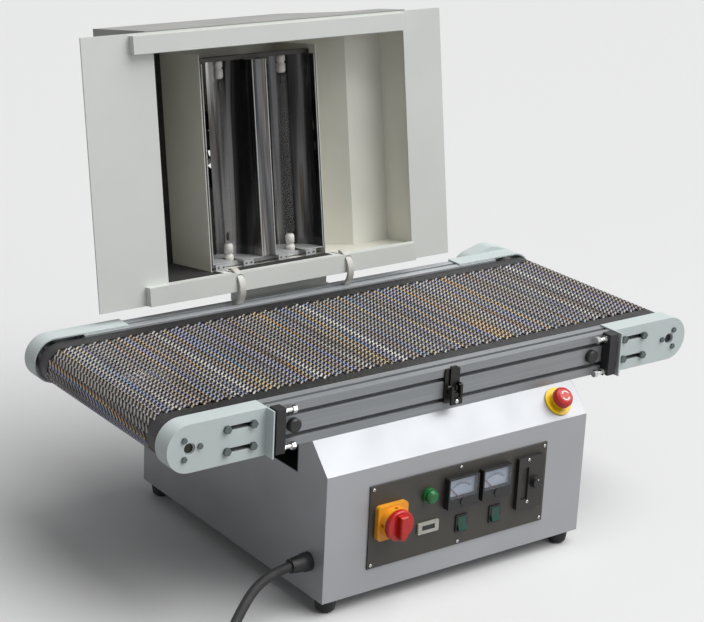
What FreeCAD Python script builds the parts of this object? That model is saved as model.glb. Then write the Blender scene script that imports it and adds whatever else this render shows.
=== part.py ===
import FreeCAD, Part
import math
import os

# A benchtop conveyor oven: a mesh belt carries work under two tube lamps in a hinged hood.
# Millimetres. X runs along the belt, Y to the back, Z up from the floor.
# The origin is on the floor below the middle of the whole machine, its lead apart.

# Cabinet
cabinet_width = 600.0
cabinet_depth = 620.0
cabinet_forward = 72.0
cabinet_height = 293.0
front_height = 241.0
chamfer_depth = 49.0
sheet = 2.0
trough_depth = 74.0
foot_height = 28.0
foot_diameter = 42.0
foot_tip = 34.0
foot_inset = 26.0
back_panel_margin = 30.0
back_panel_lap = 14.0
vent_rows = 9
vent_length = 90.0
vent_width = 5.0
vent_pitch = 13.0
transformer_length = 120.0
transformer_width = 96.0
transformer_height = 104.0
transformer_spacing = 240.0

# Clearances
fit_gap = 0.3
running_gap = 0.06

# Rails, rollers and belt
rail_width = 40.0
rail_height = 80.0
rail_setback = 58.0
slot_mouth = 8.2
slot_lip = 4.5
slot_cavity = 16.0
slot_depth = 12.5
slot_pitch = 40.0
shaft_span = 1100.0
shaft_diameter = 17.0
shaft_recess = 6.0
drum_diameter = 71.0
drum_wall = 4.0
drum_inset = 2.0
belt_width = 415.0
belt_clearance = 3.0
belt_thickness = 1.4
bed_setback = 120.0
bed_flange = 30.0
bar_size = 30.0
bar_spacing = 300.0

# End caps, bearings and belt tension
cap_sheet = 3.0
cap_depth = 38.0
cap_reach = 153.0
cap_flange = 25.0
cap_shaft_hole = 22.0
bearing_diameter = 56.0
bearing_flange = 5.0
bearing_length = 12.0
bearing_hub = 34.0
bearing_bolt = 6.0
bearing_bolt_circle = 40.0
bearing_bolt_angles = (122.0, 4.0, 238.0)
slot_bolt = 8.0
tension_slot_start = 70.0
tension_slot_length = 56.0
slot_bolt_inset = 2.0
block_gap = 6.0
block_length = 19.0
block_stand = 22.0
tension_screw = 8.0
tension_screw_length = 52.0
tension_screw_spread = 67.0
tension_screw_stand = 11.0
rear_drop = 9.0
rear_screw_spread = 44.0
bolt_cover_diameter = 26.0
bolt_cover_height = 11.0
bolt_cover_offset = 54.0

# Drive
gear_module = 2.0
motor_teeth = 37
roller_teeth = 33
pressure_angle = 20.0
gear_backlash = 0.4
gear_face = 12.0
gear_stand = 6.7
motor_diameter = 58.0
motor_length = 150.0
motor_shaft = 10.0
motor_shaft_hole = 15.0
motor_shaft_seat = 25.0
cover_room = 2.0
cover_peak_radius = 53.0
cover_peak_offset = 33.0
cover_depth = 40.0
cover_sheet = 2.0

# Toggle latch on the front rail
latch_x = 2.0
latch_width = 34.0
latch_height = 66.0
latch_base_thickness = 4.0
latch_ear = 4.0
latch_pivot_height = 47.0
latch_pivot_stand = 11.0
latch_pin = 4.0
lever_length = 32.0
lever_thickness = 5.0
lever_lug = 3.5
claw_width = 14.0
claw_thickness = 2.0
claw_pin = 3.0
claw_drop = 12.0
claw_rise = 49.0

# Control panel and what it carries; x from the cabinet's middle, z from the floor
panel_width = 410.0
panel_height = 160.0
panel_x = -2.0
panel_z = 153.0
panel_thickness = 3.0
panel_lap = 12.0
isolator_x = -162.0
isolator_z = 161.0
isolator_plate = 66.0
isolator_plate_thickness = 10.0
isolator_collar = 58.0
isolator_collar_height = 14.0
isolator_disc_height = 10.0
isolator_wing_height = 11.0
isolator_wing_width = 17.0
isolator_shaft = 8.0
isolator_body = 46.0
padlock_hole = 8.0
pilot_x = -76.0
pilot_z = 188.0
pilot_diameter = 30.0
pilot_body = 22.0
counter_x = -75.0
counter_z = 126.0
counter_width = 47.0
counter_height = 22.0
meter_x = 34.75
meter_z = 183.0
meter_spacing = 80.1
meter_width = 70.0
meter_height = 62.0
meter_depth = 14.0
meter_rim = 3.0
meter_floor = 3.0
meter_barrel = 50.0
dial_height = 37.0
needle_length = 34.0
needle_swing = 90.0
needle_pin = 2.0
window_thickness = 1.6
rocker_x = 43.0
rocker_z = 115.0
rocker_spacing = 79.0
rocker_width = 19.0
rocker_length = 26.0
rocker_tilt = 11.0
rocker_pin = 3.0
bezel_rim = 4.0
bezel_height = 3.0
controller_x = 160.0
controller_z = 163.0
controller_width = 62.0
controller_height = 104.0
controller_depth = 9.0
speed_knob_diameter = 24.0
speed_knob_height = 10.0
speed_shaft = 6.0
speed_knob_offset = 10.0
device_depth = 38.0
estop_inset = 55.0
estop_collar = 56.0
estop_collar_height = 3.5
estop_neck_height = 10.0
estop_head = 40.0
estop_head_height = 15.0
estop_stem = 16.0
estop_stem_length = 24.0
estop_travel = 4.0

# Supply lead
gland_inset = 45.0
gland_z = 94.0
gland_diameter = 35.0
gland_tip = 27.0
gland_length = 40.0
gland_nut = 13.0
cord_diameter = 18.0
# The lead's route: x from the cabinet's side, y from the gland, z from the floor.
cord_points = [
    (-22, 0, gland_z),
    (-95, 0, gland_z),
    (-178, -40, 44),
    (-247, -103, 9.4),
    (-280, -147, 9.4),
]
coil_inner_radius = 79.0
coil_turns = 3.36
coil_steps = 14
coil_spacing = 19.2
coil_lift = 18.9
coil_tail = 66.0
plug_diameter = 56.0
plug_length = 120.0
plug_pin = 6.0

# Hood; its own lengths run along the belt (a), up from the hinge edge (t) and back from the plate (q)
hood_width = 827.0
hood_height = 510.0
hood_plate_sheet = 3.0
hood_centre = -33.5
hood_open_lean = 8.92
strip_gap = 1.0
strip_height = 16.0
strip_start = 100.0
strip_length = 630.0
rear_strip_width = 36.0
front_strip_width = 34.0
front_strip_end = 506.0
bay_start = 150.0
bay_end = 732.0
bay_low = 37.0
bay_high = 470.0
cover_start = 134.0
cover_flat_end = 561.0
cover_shelf = 648.0
cover_end = 738.0
cover_height = 200.0
cover_shoulder = 90.0
cover_low = 30.0
hinge_overhang = 4.4
hinge_t = 6.0
hinge_q = 12.6
hinge_pin = 8.0
arm_places = (300.0, 558.0)
arm_width = 13.0
arm_thickness = 6.0
arm_end_angle = 88.0
arm_clearance = 1.5
ear_thickness = 4.0
ear_radius = 8.0
stop_width = 228.0
stop_offset = -18.0
stop_sheet = 3.0
stop_back = 28.0
baffle_places = (277.0, 548.0)
baffle_sheet = 1.5
baffle_front = 50.0
baffle_high = 456.0
lamp_places = (340.0, 487.0)
lamp_depth = 85.0
lamp_diameter = 22.0
lamp_low = 42.0
lamp_high = 438.0
lamp_end_diameter = 18.0
lamp_end_length = 35.0
holder_width = 24.0
holder_thickness = 8.0
reflector_half = 58.0
reflector_front = 52.0
reflector_apex = 146.0
reflector_slit = 8.0
reflector_sheet = 1.2
reflector_low = 45.0
reflector_bow = 16.0
bracket_places = (300.0, 365.0, 448.0, 515.0)
bracket_width = 24.0
bracket_sheet = 1.5
bracket_top = 100.0
bracket_hole = 5.0
fan_size = 150.0
fan_depth = 38.0
fan_bore = 140.0
fan_hub = 50.0
fan_blades = 7
fan_pitch = 38.0
blade_thickness = 2.0
blade_gap = 2.5
fan_t = 255.0
fan_spindle = 8.0
fan_strut = 6.0
guard_sheet = 1.5
guard_rings = 4
guard_pitch = 15.0
guard_slot = 10.0
guard_spoke = 10.0

# Places that follow from the sizes above
left = -cabinet_width / 2
right = cabinet_width / 2
front = -cabinet_depth / 2 - cabinet_forward
back = cabinet_depth / 2 - cabinet_forward
seat_z = foot_height + cabinet_height
slope_z = foot_height + front_height
trough_z = seat_z - trough_depth
rail_front = front + chamfer_depth
belt_front = rail_front + rail_width
belt_back = belt_front + belt_width + 2 * belt_clearance
rail_back = belt_back + rail_width
mid_y = (rail_front + rail_back) / 2
rail_top = seat_z + rail_height
axle_z = seat_z + rail_height / 2
axle_x = shaft_span / 2
rail_end = axle_x - rail_setback


def at(x, y, z):
    return FreeCAD.Vector(x, y, z)


along_x = at(1, 0, 0)
along_y = at(0, 1, 0)
along_z = at(0, 0, 1)


def span_box(x, y, z):
    return Part.makeBox(x[1] - x[0], y[1] - y[0], z[1] - z[0], at(x[0], y[0], z[0]))


def middle_box(centre, x, y, z):
    return Part.makeBox(x, y, z, centre - at(x / 2, y / 2, z / 2))


def rod(diameter, start, direction, length):
    return Part.makeCylinder(diameter / 2, length, start, direction)


def hex_rod(corners, start, direction, length):
    # A six-sided bar measured across its corners.
    side = along_z.cross(direction) if abs(direction.z) < 0.9 else along_x
    side.normalize()
    up = direction.cross(side)
    turns = [math.radians(60 * step) for step in range(6)]
    loop = [start + (side * math.cos(w) + up * math.sin(w)) * (corners / 2) for w in turns]
    return prism(loop, direction * length)


def domed(diameter, start, direction, height):
    # A round head whose top draws in by two slopes.
    radius = diameter / 2
    shoulder = radius * 0.88
    slope_start = start + direction * height * 0.5
    crown_start = start + direction * height * 0.8
    foot = Part.makeCylinder(radius, height * 0.5, start, direction)
    slope = Part.makeCone(radius, shoulder, height * 0.3, slope_start, direction)
    crown = Part.makeCone(shoulder, radius * 0.62, height * 0.2, crown_start, direction)
    return foot.fuse([slope, crown])


def prism(points, shift):
    return Part.Face(Part.makePolygon(points + [points[0]])).extrude(shift)


def inset_prism(points, distance, shift):
    # The same outline with every side moved inwards by the sheet thickness.
    loop = Part.makePolygon(points + [points[0]])
    return Part.Face(loop.makeOffset2D(-distance, 2)).extrude(shift)


def slot_tool(x, z, width, y):
    # A cutter for a round-ended slot along X through the depth y.
    middle = span_box(x, y, (z - width / 2, z + width / 2))
    ends = [rod(width, at(end, y[0], z), along_y, y[1] - y[0]) for end in x]
    return middle.fuse(ends)


def rounded_block(x, y, z, radius):
    block = span_box(x, y, z)
    corners = [e for e in block.Edges if abs(e.tangentAt(e.FirstParameter).y) > 0.99]
    return block.makeFillet(radius, corners)


def other_end(shape):
    return shape.mirror(at(0, 0, 0), along_x)


def other_side(shape):
    return shape.mirror(at(0, mid_y, 0), along_y)


def four_corners(shape):
    # The same piece at both ends of both rails.
    pair = [shape, other_end(shape)]
    return pair + [other_side(piece) for piece in pair]


def save(name, pieces):
    shape = pieces if isinstance(pieces, Part.Shape) else Part.makeCompound(pieces)
    shape.exportStep("parts/" + name + ".step")


os.makedirs("parts", exist_ok=True)

# Cabinet: one folded sheet with a sloped front edge, open below and notched for the belt trough.
side_outline = [
    at(left, front, foot_height),
    at(left, front, slope_z),
    at(left, rail_front, seat_z),
    at(left, back, seat_z),
    at(left, back, foot_height),
]
shell = prism(side_outline, at(cabinet_width, 0, 0))
hollow_low = foot_height - 2 * sheet
hollow_outline = [at(p.x + sheet, p.y, p.z if p.z > foot_height else hollow_low) for p in side_outline]
shell = shell.cut(inset_prism(hollow_outline, sheet, at(cabinet_width - 2 * sheet, 0, 0)))
shell = shell.cut(span_box((left, right), (belt_front, belt_back), (trough_z, seat_z)))
panel_front = front - panel_thickness
panel_low = panel_z - panel_height / 2
panel_left = panel_x - panel_width / 2
panel_hatch = span_box(
    (panel_left + panel_lap, panel_left + panel_width - panel_lap),
    (front - 1, front + sheet + 1),
    (panel_low + panel_lap, panel_low + panel_height - panel_lap),
)
shell = shell.cut(panel_hatch)
slope = at(0, chamfer_depth, seat_z - slope_z)
slope.normalize()
slope_normal = at(0, -slope.z, slope.y)
estop_x = right - estop_inset
estop_seat = at(estop_x, (front + rail_front) / 2, (slope_z + seat_z) / 2)
stem_hole = estop_stem + 2 * running_gap
stem_sleeve = stem_hole + 6
sleeve_hole = stem_sleeve + 2 * fit_gap
shell = shell.cut(rod(sleeve_hole, estop_seat + slope_normal * sheet, -slope_normal, 3 * sheet))
gland_y = front + gland_inset
gland_seat = at(left, gland_y, gland_z)
gland_thread = gland_tip - 2
shell = shell.cut(rod(gland_thread + 2 * fit_gap, gland_seat - along_x, along_x, sheet + 2))
back_low = foot_height + back_panel_margin
back_high = seat_z - back_panel_margin
back_side = cabinet_width / 2 - back_panel_margin
shell = shell.cut(span_box(
    (-back_side + back_panel_lap, back_side - back_panel_lap),
    (back - sheet - 1, back + 1),
    (back_low + back_panel_lap, back_high - back_panel_lap),
))
save("cabinet_shell", shell)

# Black trough for the returning belt: a U channel that rests in the side notches.
trough_x = (left, right)
trough = span_box(trough_x, (belt_front + fit_gap, belt_back - fit_gap), (trough_z, seat_z))
trough_room = (belt_front + fit_gap + sheet, belt_back - fit_gap - sheet)
trough = trough.cut(span_box(trough_x, trough_room, (trough_z + sheet, seat_z)))
save("belt_trough", trough)

floor_inset = sheet + fit_gap
base_plate = span_box(
    (left + floor_inset, right - floor_inset),
    (front + floor_inset, back - floor_inset),
    (foot_height, foot_height + sheet),
)
save("base_plate", base_plate)

vented = span_box((-back_side, back_side), (back, back + sheet), (back_low, back_high))
vent_first = (back_low + back_high) / 2 - (vent_rows - 1) * vent_pitch / 2
for row in range(vent_rows):
    row_z = vent_first + row * vent_pitch
    for middle_x in (-back_side / 2, back_side / 2):
        ends = (middle_x - vent_length / 2, middle_x + vent_length / 2)
        rows_z = (row_z - vent_width / 2, row_z + vent_width / 2)
        vented = vented.cut(span_box(ends, (back - 1, back + sheet + 1), rows_z))
save("back_panel", vented)

feet = []
for foot_x in (left + foot_inset, right - foot_inset):
    for foot_y in (front + foot_inset, back - foot_inset):
        foot = Part.makeCone(foot_tip / 2, foot_diameter / 2, foot_height, at(foot_x, foot_y, 0))
        rim = [e for e in foot.Edges if e.BoundBox.ZMax < 0.01]
        feet.append(foot.makeChamfer(foot_height / 6, rim))
save("rubber_feet", feet)

# Two ballast transformers stand on the base plate: a laminated core with its winding across it.
transformers = []
for core_x in (-transformer_spacing / 2, transformer_spacing / 2):
    core_middle = at(core_x, 0, foot_height + sheet + transformer_height / 2)
    core = middle_box(core_middle, transformer_length, transformer_width * 0.6, transformer_height)
    winding_size = (transformer_length * 0.55, transformer_width, transformer_height * 0.62)
    winding = middle_box(core_middle, *winding_size)
    short_edges = [e for e in winding.Edges if e.Length < transformer_width]
    winding = winding.makeFillet(transformer_height * 0.12, short_edges)
    transformers.append(core.fuse(winding))
save("ballast_transformers", transformers)

# Slotted aluminium rails: one undercut slot repeated round the section.
def rail_slot(face_y, z, inwards):
    mouth = span_box((-rail_end, rail_end), (-slot_lip, slot_lip), (-slot_mouth / 2, slot_mouth / 2))
    cavity = prism(
        [
            at(-rail_end, slot_lip, -slot_cavity / 2),
            at(-rail_end, slot_lip, slot_cavity / 2),
            at(-rail_end, slot_depth, slot_mouth / 2),
            at(-rail_end, slot_depth, -slot_mouth / 2),
        ],
        at(2 * rail_end, 0, 0),
    )
    tool = mouth.fuse(cavity)
    tool.rotate(at(0, 0, 0), along_x, inwards)
    tool.translate(at(0, face_y, z))
    return tool


rail = span_box((-rail_end, rail_end), (rail_front, belt_front), (seat_z, rail_top))
rail_middle = (rail_front + belt_front) / 2
slots = [rail_slot(rail_middle, seat_z, 90), rail_slot(rail_middle, rail_top, -90)]
for slot_z in (axle_z - slot_pitch / 2, axle_z + slot_pitch / 2):
    slots += [rail_slot(rail_front, slot_z, 0), rail_slot(belt_front, slot_z, 180)]
rail = rail.cut(slots)
save("front_rail", rail)
gear_distance = gear_module * (motor_teeth + roller_teeth) / 2
motor_x = axle_x - gear_distance
shaft_way = rod(motor_shaft_hole, at(motor_x, belt_back - 1, axle_z), along_y, rail_width + 2)
save("rear_rail", other_side(rail).cut(shaft_way))

# Pressed end caps: a dished face round the shaft, a rim that wraps the rail and a bent tension flange.
cap_radius = rail_height / 2 + fit_gap + cap_sheet
cap_inner_x = -axle_x + cap_reach
cap_face = rail_front - fit_gap - cap_sheet


def cap_form(radius, end_x, y, depth):
    low, high = axle_z - radius, axle_z + radius
    bow = Part.Arc(at(-axle_x, y, high), at(-axle_x - radius, y, axle_z), at(-axle_x, y, low)).toShape()
    corners = [(-axle_x, low), (end_x, low), (end_x, high), (-axle_x, high)]
    sides = Part.makePolygon([at(x, y, z) for x, z in corners])
    return Part.Face(Part.Wire([bow] + sides.Edges)).extrude(at(0, depth, 0))


cap = cap_form(cap_radius, cap_inner_x, cap_face, cap_depth)
cap = cap.cut(cap_form(cap_radius - cap_sheet, cap_inner_x + 1, cap_face + cap_sheet, cap_depth))
flange_y = (cap_face + cap_sheet - cap_flange, cap_face + cap_sheet)
cap_z = (axle_z - cap_radius, axle_z + cap_radius)
flange = span_box((cap_inner_x - cap_sheet, cap_inner_x), flange_y, cap_z)
cap = cap.fuse(flange).removeSplitter()
cap = cap.cut(rod(cap_shaft_hole, at(-axle_x, cap_face - 1, axle_z), along_y, cap_sheet + 2))
bearing_bolt_spots = []
for angle in bearing_bolt_angles:
    turn = math.radians(angle)
    away = at(math.cos(turn), 0, math.sin(turn)) * (bearing_bolt_circle / 2)
    bearing_bolt_spots.append(at(-axle_x, cap_face, axle_z) + away)
for spot in bearing_bolt_spots:
    cap = cap.cut(hex_rod(bearing_bolt + 2 * fit_gap, spot - along_y, along_y, cap_sheet + 2))
tension_slot_x = (-axle_x + tension_slot_start, -axle_x + tension_slot_start + tension_slot_length)
slot_rows = (axle_z - slot_pitch / 2, axle_z + slot_pitch / 2)
through_cap = (cap_face - 1, cap_face + cap_sheet + 1)
for slot_z in slot_rows:
    cap = cap.cut(slot_tool(tension_slot_x, slot_z, slot_bolt + 1, through_cap))
rear_face = rail_back + fit_gap + cap_sheet
rear_top = rail_top - rear_drop
flange_end = span_box(
    (cap_inner_x - 2 * cap_sheet, cap_inner_x + 1),
    (rear_face, rear_face + cap_flange),
    (rear_top, rail_top + 2 * cap_sheet),
)
rear_cap = other_side(cap).cut(flange_end)
save("end_caps", [cap, other_end(cap), rear_cap])
drive_slot = slot_tool(
    (motor_x - slot_bolt, motor_x + slot_bolt), axle_z, motor_shaft_hole,
    (rear_face - cap_sheet - 1, rear_face + 1),
)
save("rear_right_cap", other_end(rear_cap).cut(drive_slot))

# Bolts of one cap: three hold the bearing, four slide in the tension slots and grip nuts in the rail.
bolts = []
for spot in bearing_bolt_spots:
    head = hex_rod(bearing_bolt * 1.8, spot, -along_y, bearing_bolt * 0.6)
    shank = hex_rod(bearing_bolt, spot, along_y, cap_sheet + bearing_flange)
    bolts.append(head.fuse(shank))
for bolt_x in (tension_slot_x[0] + slot_bolt_inset, tension_slot_x[1] - slot_bolt_inset):
    for bolt_z in slot_rows:
        spot = at(bolt_x, cap_face, bolt_z)
        head = hex_rod(slot_bolt * 1.85, spot, -along_y, slot_bolt * 0.75)
        shank = hex_rod(slot_bolt, spot, along_y, cap_sheet + fit_gap + slot_depth - 1)
        nut_size = (slot_bolt * 1.7, slot_bolt / 2, slot_cavity - 6)
        nut = middle_box(at(bolt_x, rail_front + slot_lip + nut_size[1] / 2, bolt_z), *nut_size)
        bolts.append(head.fuse([shank, nut]))
save("cap_bolts", four_corners(Part.makeCompound(bolts)))

bearing_y = cap_face + cap_sheet
bearing = rod(bearing_diameter, at(-axle_x, bearing_y, axle_z), along_y, bearing_flange)
bearing = bearing.fuse(rod(bearing_hub, at(-axle_x, bearing_y, axle_z), along_y, bearing_length))
bore = shaft_diameter + 2 * running_gap
bearing = bearing.cut(rod(bore, at(-axle_x, bearing_y - 1, axle_z), along_y, bearing_length + 2))
for spot in bearing_bolt_spots:
    bearing = bearing.cut(hex_rod(bearing_bolt, spot, along_y, cap_sheet + bearing_flange + 1))
save("flange_bearings", four_corners(bearing))


# Rollers: a tube on a through shaft, its two end discs drilled to save weight.
def roller(x, shaft_y):
    drum_y = (mid_y - belt_width / 2 + drum_inset, mid_y + belt_width / 2 - drum_inset)
    width = drum_y[1] - drum_y[0]
    tube = rod(drum_diameter, at(x, drum_y[0], axle_z), along_y, width)
    room_start = at(x, drum_y[0] + drum_wall, axle_z)
    tube = tube.cut(rod(drum_diameter - 2 * drum_wall, room_start, along_y, width - 2 * drum_wall))
    ring = (drum_diameter / 2 - drum_wall + shaft_diameter / 2) / 2
    hole = drum_diameter / 2 - drum_wall - shaft_diameter / 2 - 7
    for turn in range(3):
        angle = math.radians(90 + 120 * turn)
        spot = at(x + ring * math.cos(angle), drum_y[0] - 1, axle_z + ring * math.sin(angle))
        tube = tube.cut(hex_rod(hole, spot, along_y, width + 2))
    shaft = rod(shaft_diameter, at(x, shaft_y[0], axle_z), along_y, shaft_y[1] - shaft_y[0])
    return tube.fuse(shaft)


gear_y = rear_face + gear_stand
shaft_front = cap_face + shaft_recess
save("tail_roller", roller(-axle_x, (shaft_front, rear_face - shaft_recess)))
save("drive_roller", roller(axle_x, (shaft_front, gear_y + gear_face + 2)))


# Belt: one closed loop round both rollers.
def loop_form(radius, y, depth):
    low, high = axle_z - radius, axle_z + radius
    bows = [
        Part.Arc(at(axle_x, y, high), at(axle_x + radius, y, axle_z), at(axle_x, y, low)).toShape(),
        Part.makeLine(at(axle_x, y, low), at(-axle_x, y, low)),
        Part.Arc(at(-axle_x, y, low), at(-axle_x - radius, y, axle_z), at(-axle_x, y, high)).toShape(),
        Part.makeLine(at(-axle_x, y, high), at(axle_x, y, high)),
    ]
    return Part.Face(Part.Wire(bows)).extrude(at(0, depth, 0))


belt_inner = drum_diameter / 2 + fit_gap
belt_y = mid_y - belt_width / 2
belt = loop_form(belt_inner + belt_thickness, belt_y, belt_width)
belt = belt.cut(loop_form(belt_inner, belt_y - 1, belt_width + 2))
save("conveyor_belt", belt)

# Slider bed below the carrying run: a folded tray whose flanges screw to the rails, on three cross bars.
bed_top = axle_z + belt_inner - fit_gap
bed_x = axle_x - bed_setback
bed_y = (belt_front + fit_gap, belt_back - fit_gap)
bed = span_box((-bed_x, bed_x), bed_y, (bed_top - bed_flange, bed_top))
bed_room = (bed_y[0] + sheet, bed_y[1] - sheet)
bed = bed.cut(span_box((-bed_x - 1, bed_x + 1), bed_room, (bed_top - bed_flange - 1, bed_top - sheet)))
bars = []
for bar_x in (-bar_spacing, 0, bar_spacing):
    bar_z = (bed_top - sheet - bar_size, bed_top - sheet)
    bars.append(span_box((bar_x - bar_size / 2, bar_x + bar_size / 2), bed_room, bar_z))
save("slider_bed", bed.fuse(bars))


# Belt tension: a block on the rail face carries two screws that push on the cap's flange.
def tension_set(top, spread):
    block_x = (cap_inner_x + block_gap, cap_inner_x + block_gap + block_length)
    block = span_box(block_x, (rail_front - block_stand, rail_front), (seat_z + 1, top))
    screw_y = rail_front - tension_screw_stand
    screws = []
    for screw_z in (axle_z - spread / 2, axle_z + spread / 2):
        tip = at(cap_inner_x, screw_y, screw_z)
        block = block.cut(rod(tension_screw + 2 * running_gap, tip, along_x, tension_screw_length))
        stem = rod(tension_screw, tip, along_x, tension_screw_length)
        head_start = tip + along_x * (tension_screw_length - tension_screw)
        head = hex_rod(tension_screw * 1.8, head_start, along_x, tension_screw)
        nut_start = at(block_x[1], screw_y, screw_z)
        lock_nut = hex_rod(tension_screw * 1.8, nut_start, along_x, tension_screw * 0.6)
        screws.append(stem.fuse([head, lock_nut]))
    return block, Part.makeCompound(screws)


front_block, front_screws = tension_set(rail_top + cap_sheet, tension_screw_spread)
rear_block, rear_screws = [other_side(piece) for piece in tension_set(rear_top, rear_screw_spread)]
save("tension_blocks", [front_block, other_end(front_block), rear_block, other_end(rear_block)])
save("tension_screws", [front_screws, other_end(front_screws), rear_screws, other_end(rear_screws)])

cover_spot = at(cap_inner_x + bolt_cover_offset, rail_front, axle_z)
bolt_cover = rod(bolt_cover_diameter, cover_spot, -along_y, bolt_cover_height)
cover_rim = [e for e in bolt_cover.Edges if e.BoundBox.YMax < rail_front - 1]
save("bolt_covers", four_corners(bolt_cover.makeChamfer(bolt_cover_height / 4, cover_rim)))


# Gear pair behind the rear right cap: true involute flanks, in mesh as built.
def gear_form(teeth, phase, centre, depth):
    pitch = gear_module * teeth / 2
    pressure = math.radians(pressure_angle)
    base = pitch * math.cos(pressure)
    root, tip = pitch - 1.25 * gear_module, pitch + gear_module
    half = (math.pi * gear_module / 2 - gear_backlash) / (2 * pitch)
    half += math.tan(pressure) - pressure
    flank = []
    for step in range(3):
        reach = max(base, root) + (tip - max(base, root)) * step / 2
        lean = math.acos(min(1, base / reach))
        flank.append((reach, half - (math.tan(lean) - lean)))
    flank.insert(0, (root, flank[0][1] + 0.01))
    outline = []
    for tooth in range(teeth):
        heart = phase + 2 * math.pi * tooth / teeth
        for reach, spread in flank:
            outline.append((reach, heart - spread))
        for reach, spread in reversed(flank):
            outline.append((reach, heart + spread))
    points = [centre + at(r * math.cos(w), 0, r * math.sin(w)) for r, w in outline]
    return prism(points, at(0, depth, 0))


motor_gear = gear_form(motor_teeth, 0, at(motor_x, gear_y, axle_z), gear_face)
motor_seat = at(motor_x, belt_back, axle_z)
motor_shaft_start = motor_seat - along_y * motor_shaft_seat
shaft_reach = gear_y + gear_face + 2 - motor_shaft_start.y
save("motor_gear", motor_gear.fuse(rod(motor_shaft, motor_shaft_start, along_y, shaft_reach)))
half_pitch = math.pi / roller_teeth
roller_gear = gear_form(roller_teeth, math.pi - half_pitch, at(axle_x, gear_y, axle_z), gear_face)
gear_bore = rod(shaft_diameter, at(axle_x, gear_y - 1, axle_z), along_y, gear_face + 2)
save("roller_gear", roller_gear.cut(gear_bore))

# Gear motor between the belt runs, screwed to the inner face of the rear rail.
motor = rod(motor_diameter, motor_seat, -along_y, motor_length)
groove_y = belt_back - motor_length * 0.42
groove = rod(motor_diameter + 2, at(motor_x, groove_y, axle_z), -along_y, 4)
motor = motor.cut(groove.cut(rod(motor_diameter - 4, at(motor_x, groove_y + 1, axle_z), -along_y, 6)))
motor_bore = rod(motor_shaft + 2 * running_gap, motor_seat + along_y, -along_y, motor_shaft_seat + 2)
save("gear_motor", motor.cut(motor_bore))


# Drive cover: a pressed shell over both gears, highest between them, on its own back plate.
motor_round = gear_module * (motor_teeth / 2 + 1) + cover_room + cover_sheet
cover_peak_x = axle_x - cover_peak_offset
cover_rounds = [(motor_x, motor_round), (cover_peak_x, cover_peak_radius), (axle_x, cap_radius)]


def cover_form(shrink, y, depth):
    # Three rounds in a row, joined above and below by the straight lines that touch them.
    rounds = [(x, radius - shrink) for x, radius in cover_rounds]
    upper, lower = [], []
    for (x, radius), (next_x, next_radius) in zip(rounds, rounds[1:]):
        lean = math.asin((radius - next_radius) / (next_x - x))
        for middle, reach in ((x, radius), (next_x, next_radius)):
            aside, rise = reach * math.sin(lean), reach * math.cos(lean)
            upper.append(at(middle + aside, y, axle_z + rise))
            lower.append(at(middle + aside, y, axle_z - rise))
    (motor_end, motor_reach), (peak, peak_reach), (roller_end, roller_reach) = rounds
    edges = [
        Part.makeLine(upper[0], upper[1]),
        Part.Arc(upper[1], at(peak, y, axle_z + peak_reach), upper[2]).toShape(),
        Part.makeLine(upper[2], upper[3]),
        Part.Arc(upper[3], at(roller_end + roller_reach, y, axle_z), lower[3]).toShape(),
        Part.makeLine(lower[3], lower[2]),
        Part.Arc(lower[2], at(peak, y, axle_z - peak_reach), lower[1]).toShape(),
        Part.makeLine(lower[1], lower[0]),
        Part.Arc(lower[0], at(motor_end - motor_reach, y, axle_z), upper[0]).toShape(),
    ]
    return Part.Face(Part.Wire(edges)).extrude(at(0, depth, 0))


plate_y = rear_face
shell_y = plate_y + cover_sheet
bolt_way = (axle_x - tension_slot_start - tension_slot_length, axle_x - tension_slot_start)
bolt_room = (plate_y - 1, shell_y + slot_bolt)
bolt_ways = [slot_tool(bolt_way, slot_z, slot_bolt * 2.1, bolt_room) for slot_z in slot_rows]
bearing_room = bearing_bolt_circle + 3 * bearing_bolt
bearing_way = rod(bearing_room, at(axle_x, plate_y - 1, axle_z), along_y, cover_sheet + 2)
motor_way = rod(motor_shaft_hole, at(motor_x, plate_y - 1, axle_z), along_y, cover_sheet + 2)
back_plate = cover_form(0, plate_y, cover_sheet)
save("drive_back_plate", back_plate.cut(bolt_ways + [bearing_way, motor_way]))
drive_cover = cover_form(0, shell_y, cover_depth)
front_rim = [e for e in drive_cover.Edges if e.BoundBox.YMin > shell_y + cover_depth - 0.01]
drive_cover = drive_cover.makeChamfer(3 * cover_sheet, front_rim)
room_end = shell_y + cover_depth - cover_sheet
drive_room = cover_form(cover_sheet, shell_y - 1, cover_depth + 1 - cover_sheet)
room_rim = [e for e in drive_room.Edges if e.BoundBox.YMin > room_end - 0.01]
drive_cover = drive_cover.cut(drive_room.makeChamfer(2.6 * cover_sheet, room_rim))
save("drive_cover", drive_cover.cut(bolt_ways))

# Toggle latch: a base with two ears, a forked lever on stub pins and a claw on the lever's own pin.
latch_z = seat_z + latch_pivot_height
latch_y = rail_front - latch_pivot_stand
latch_sides = (latch_x - latch_width / 2, latch_x + latch_width / 2)
latch_low = axle_z - latch_height * 0.4
base_y = (rail_front - latch_base_thickness, rail_front)
latch_base = rounded_block(latch_sides, base_y, (latch_low, latch_low + latch_height), 4)
latch_ears = []
lever_half = latch_width / 2 - latch_ear - fit_gap
stub_start = lever_half - lever_lug
for side in (-1, 1):
    ear_x = sorted((latch_x + side * latch_width / 2, latch_x + side * (latch_width / 2 - latch_ear)))
    ear = span_box(ear_x, (latch_y, base_y[0]), (latch_z - latch_pin, latch_z + latch_pin))
    ear = ear.fuse(rod(2 * latch_pin, at(ear_x[0], latch_y, latch_z), along_x, latch_ear))
    stub_spot = at(latch_x + side * stub_start, latch_y, latch_z)
    stub = rod(latch_pin, stub_spot, along_x * side, latch_width / 2 - stub_start)
    latch_ears += [ear, stub]
save("latch_base", latch_base.fuse(latch_ears))
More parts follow.
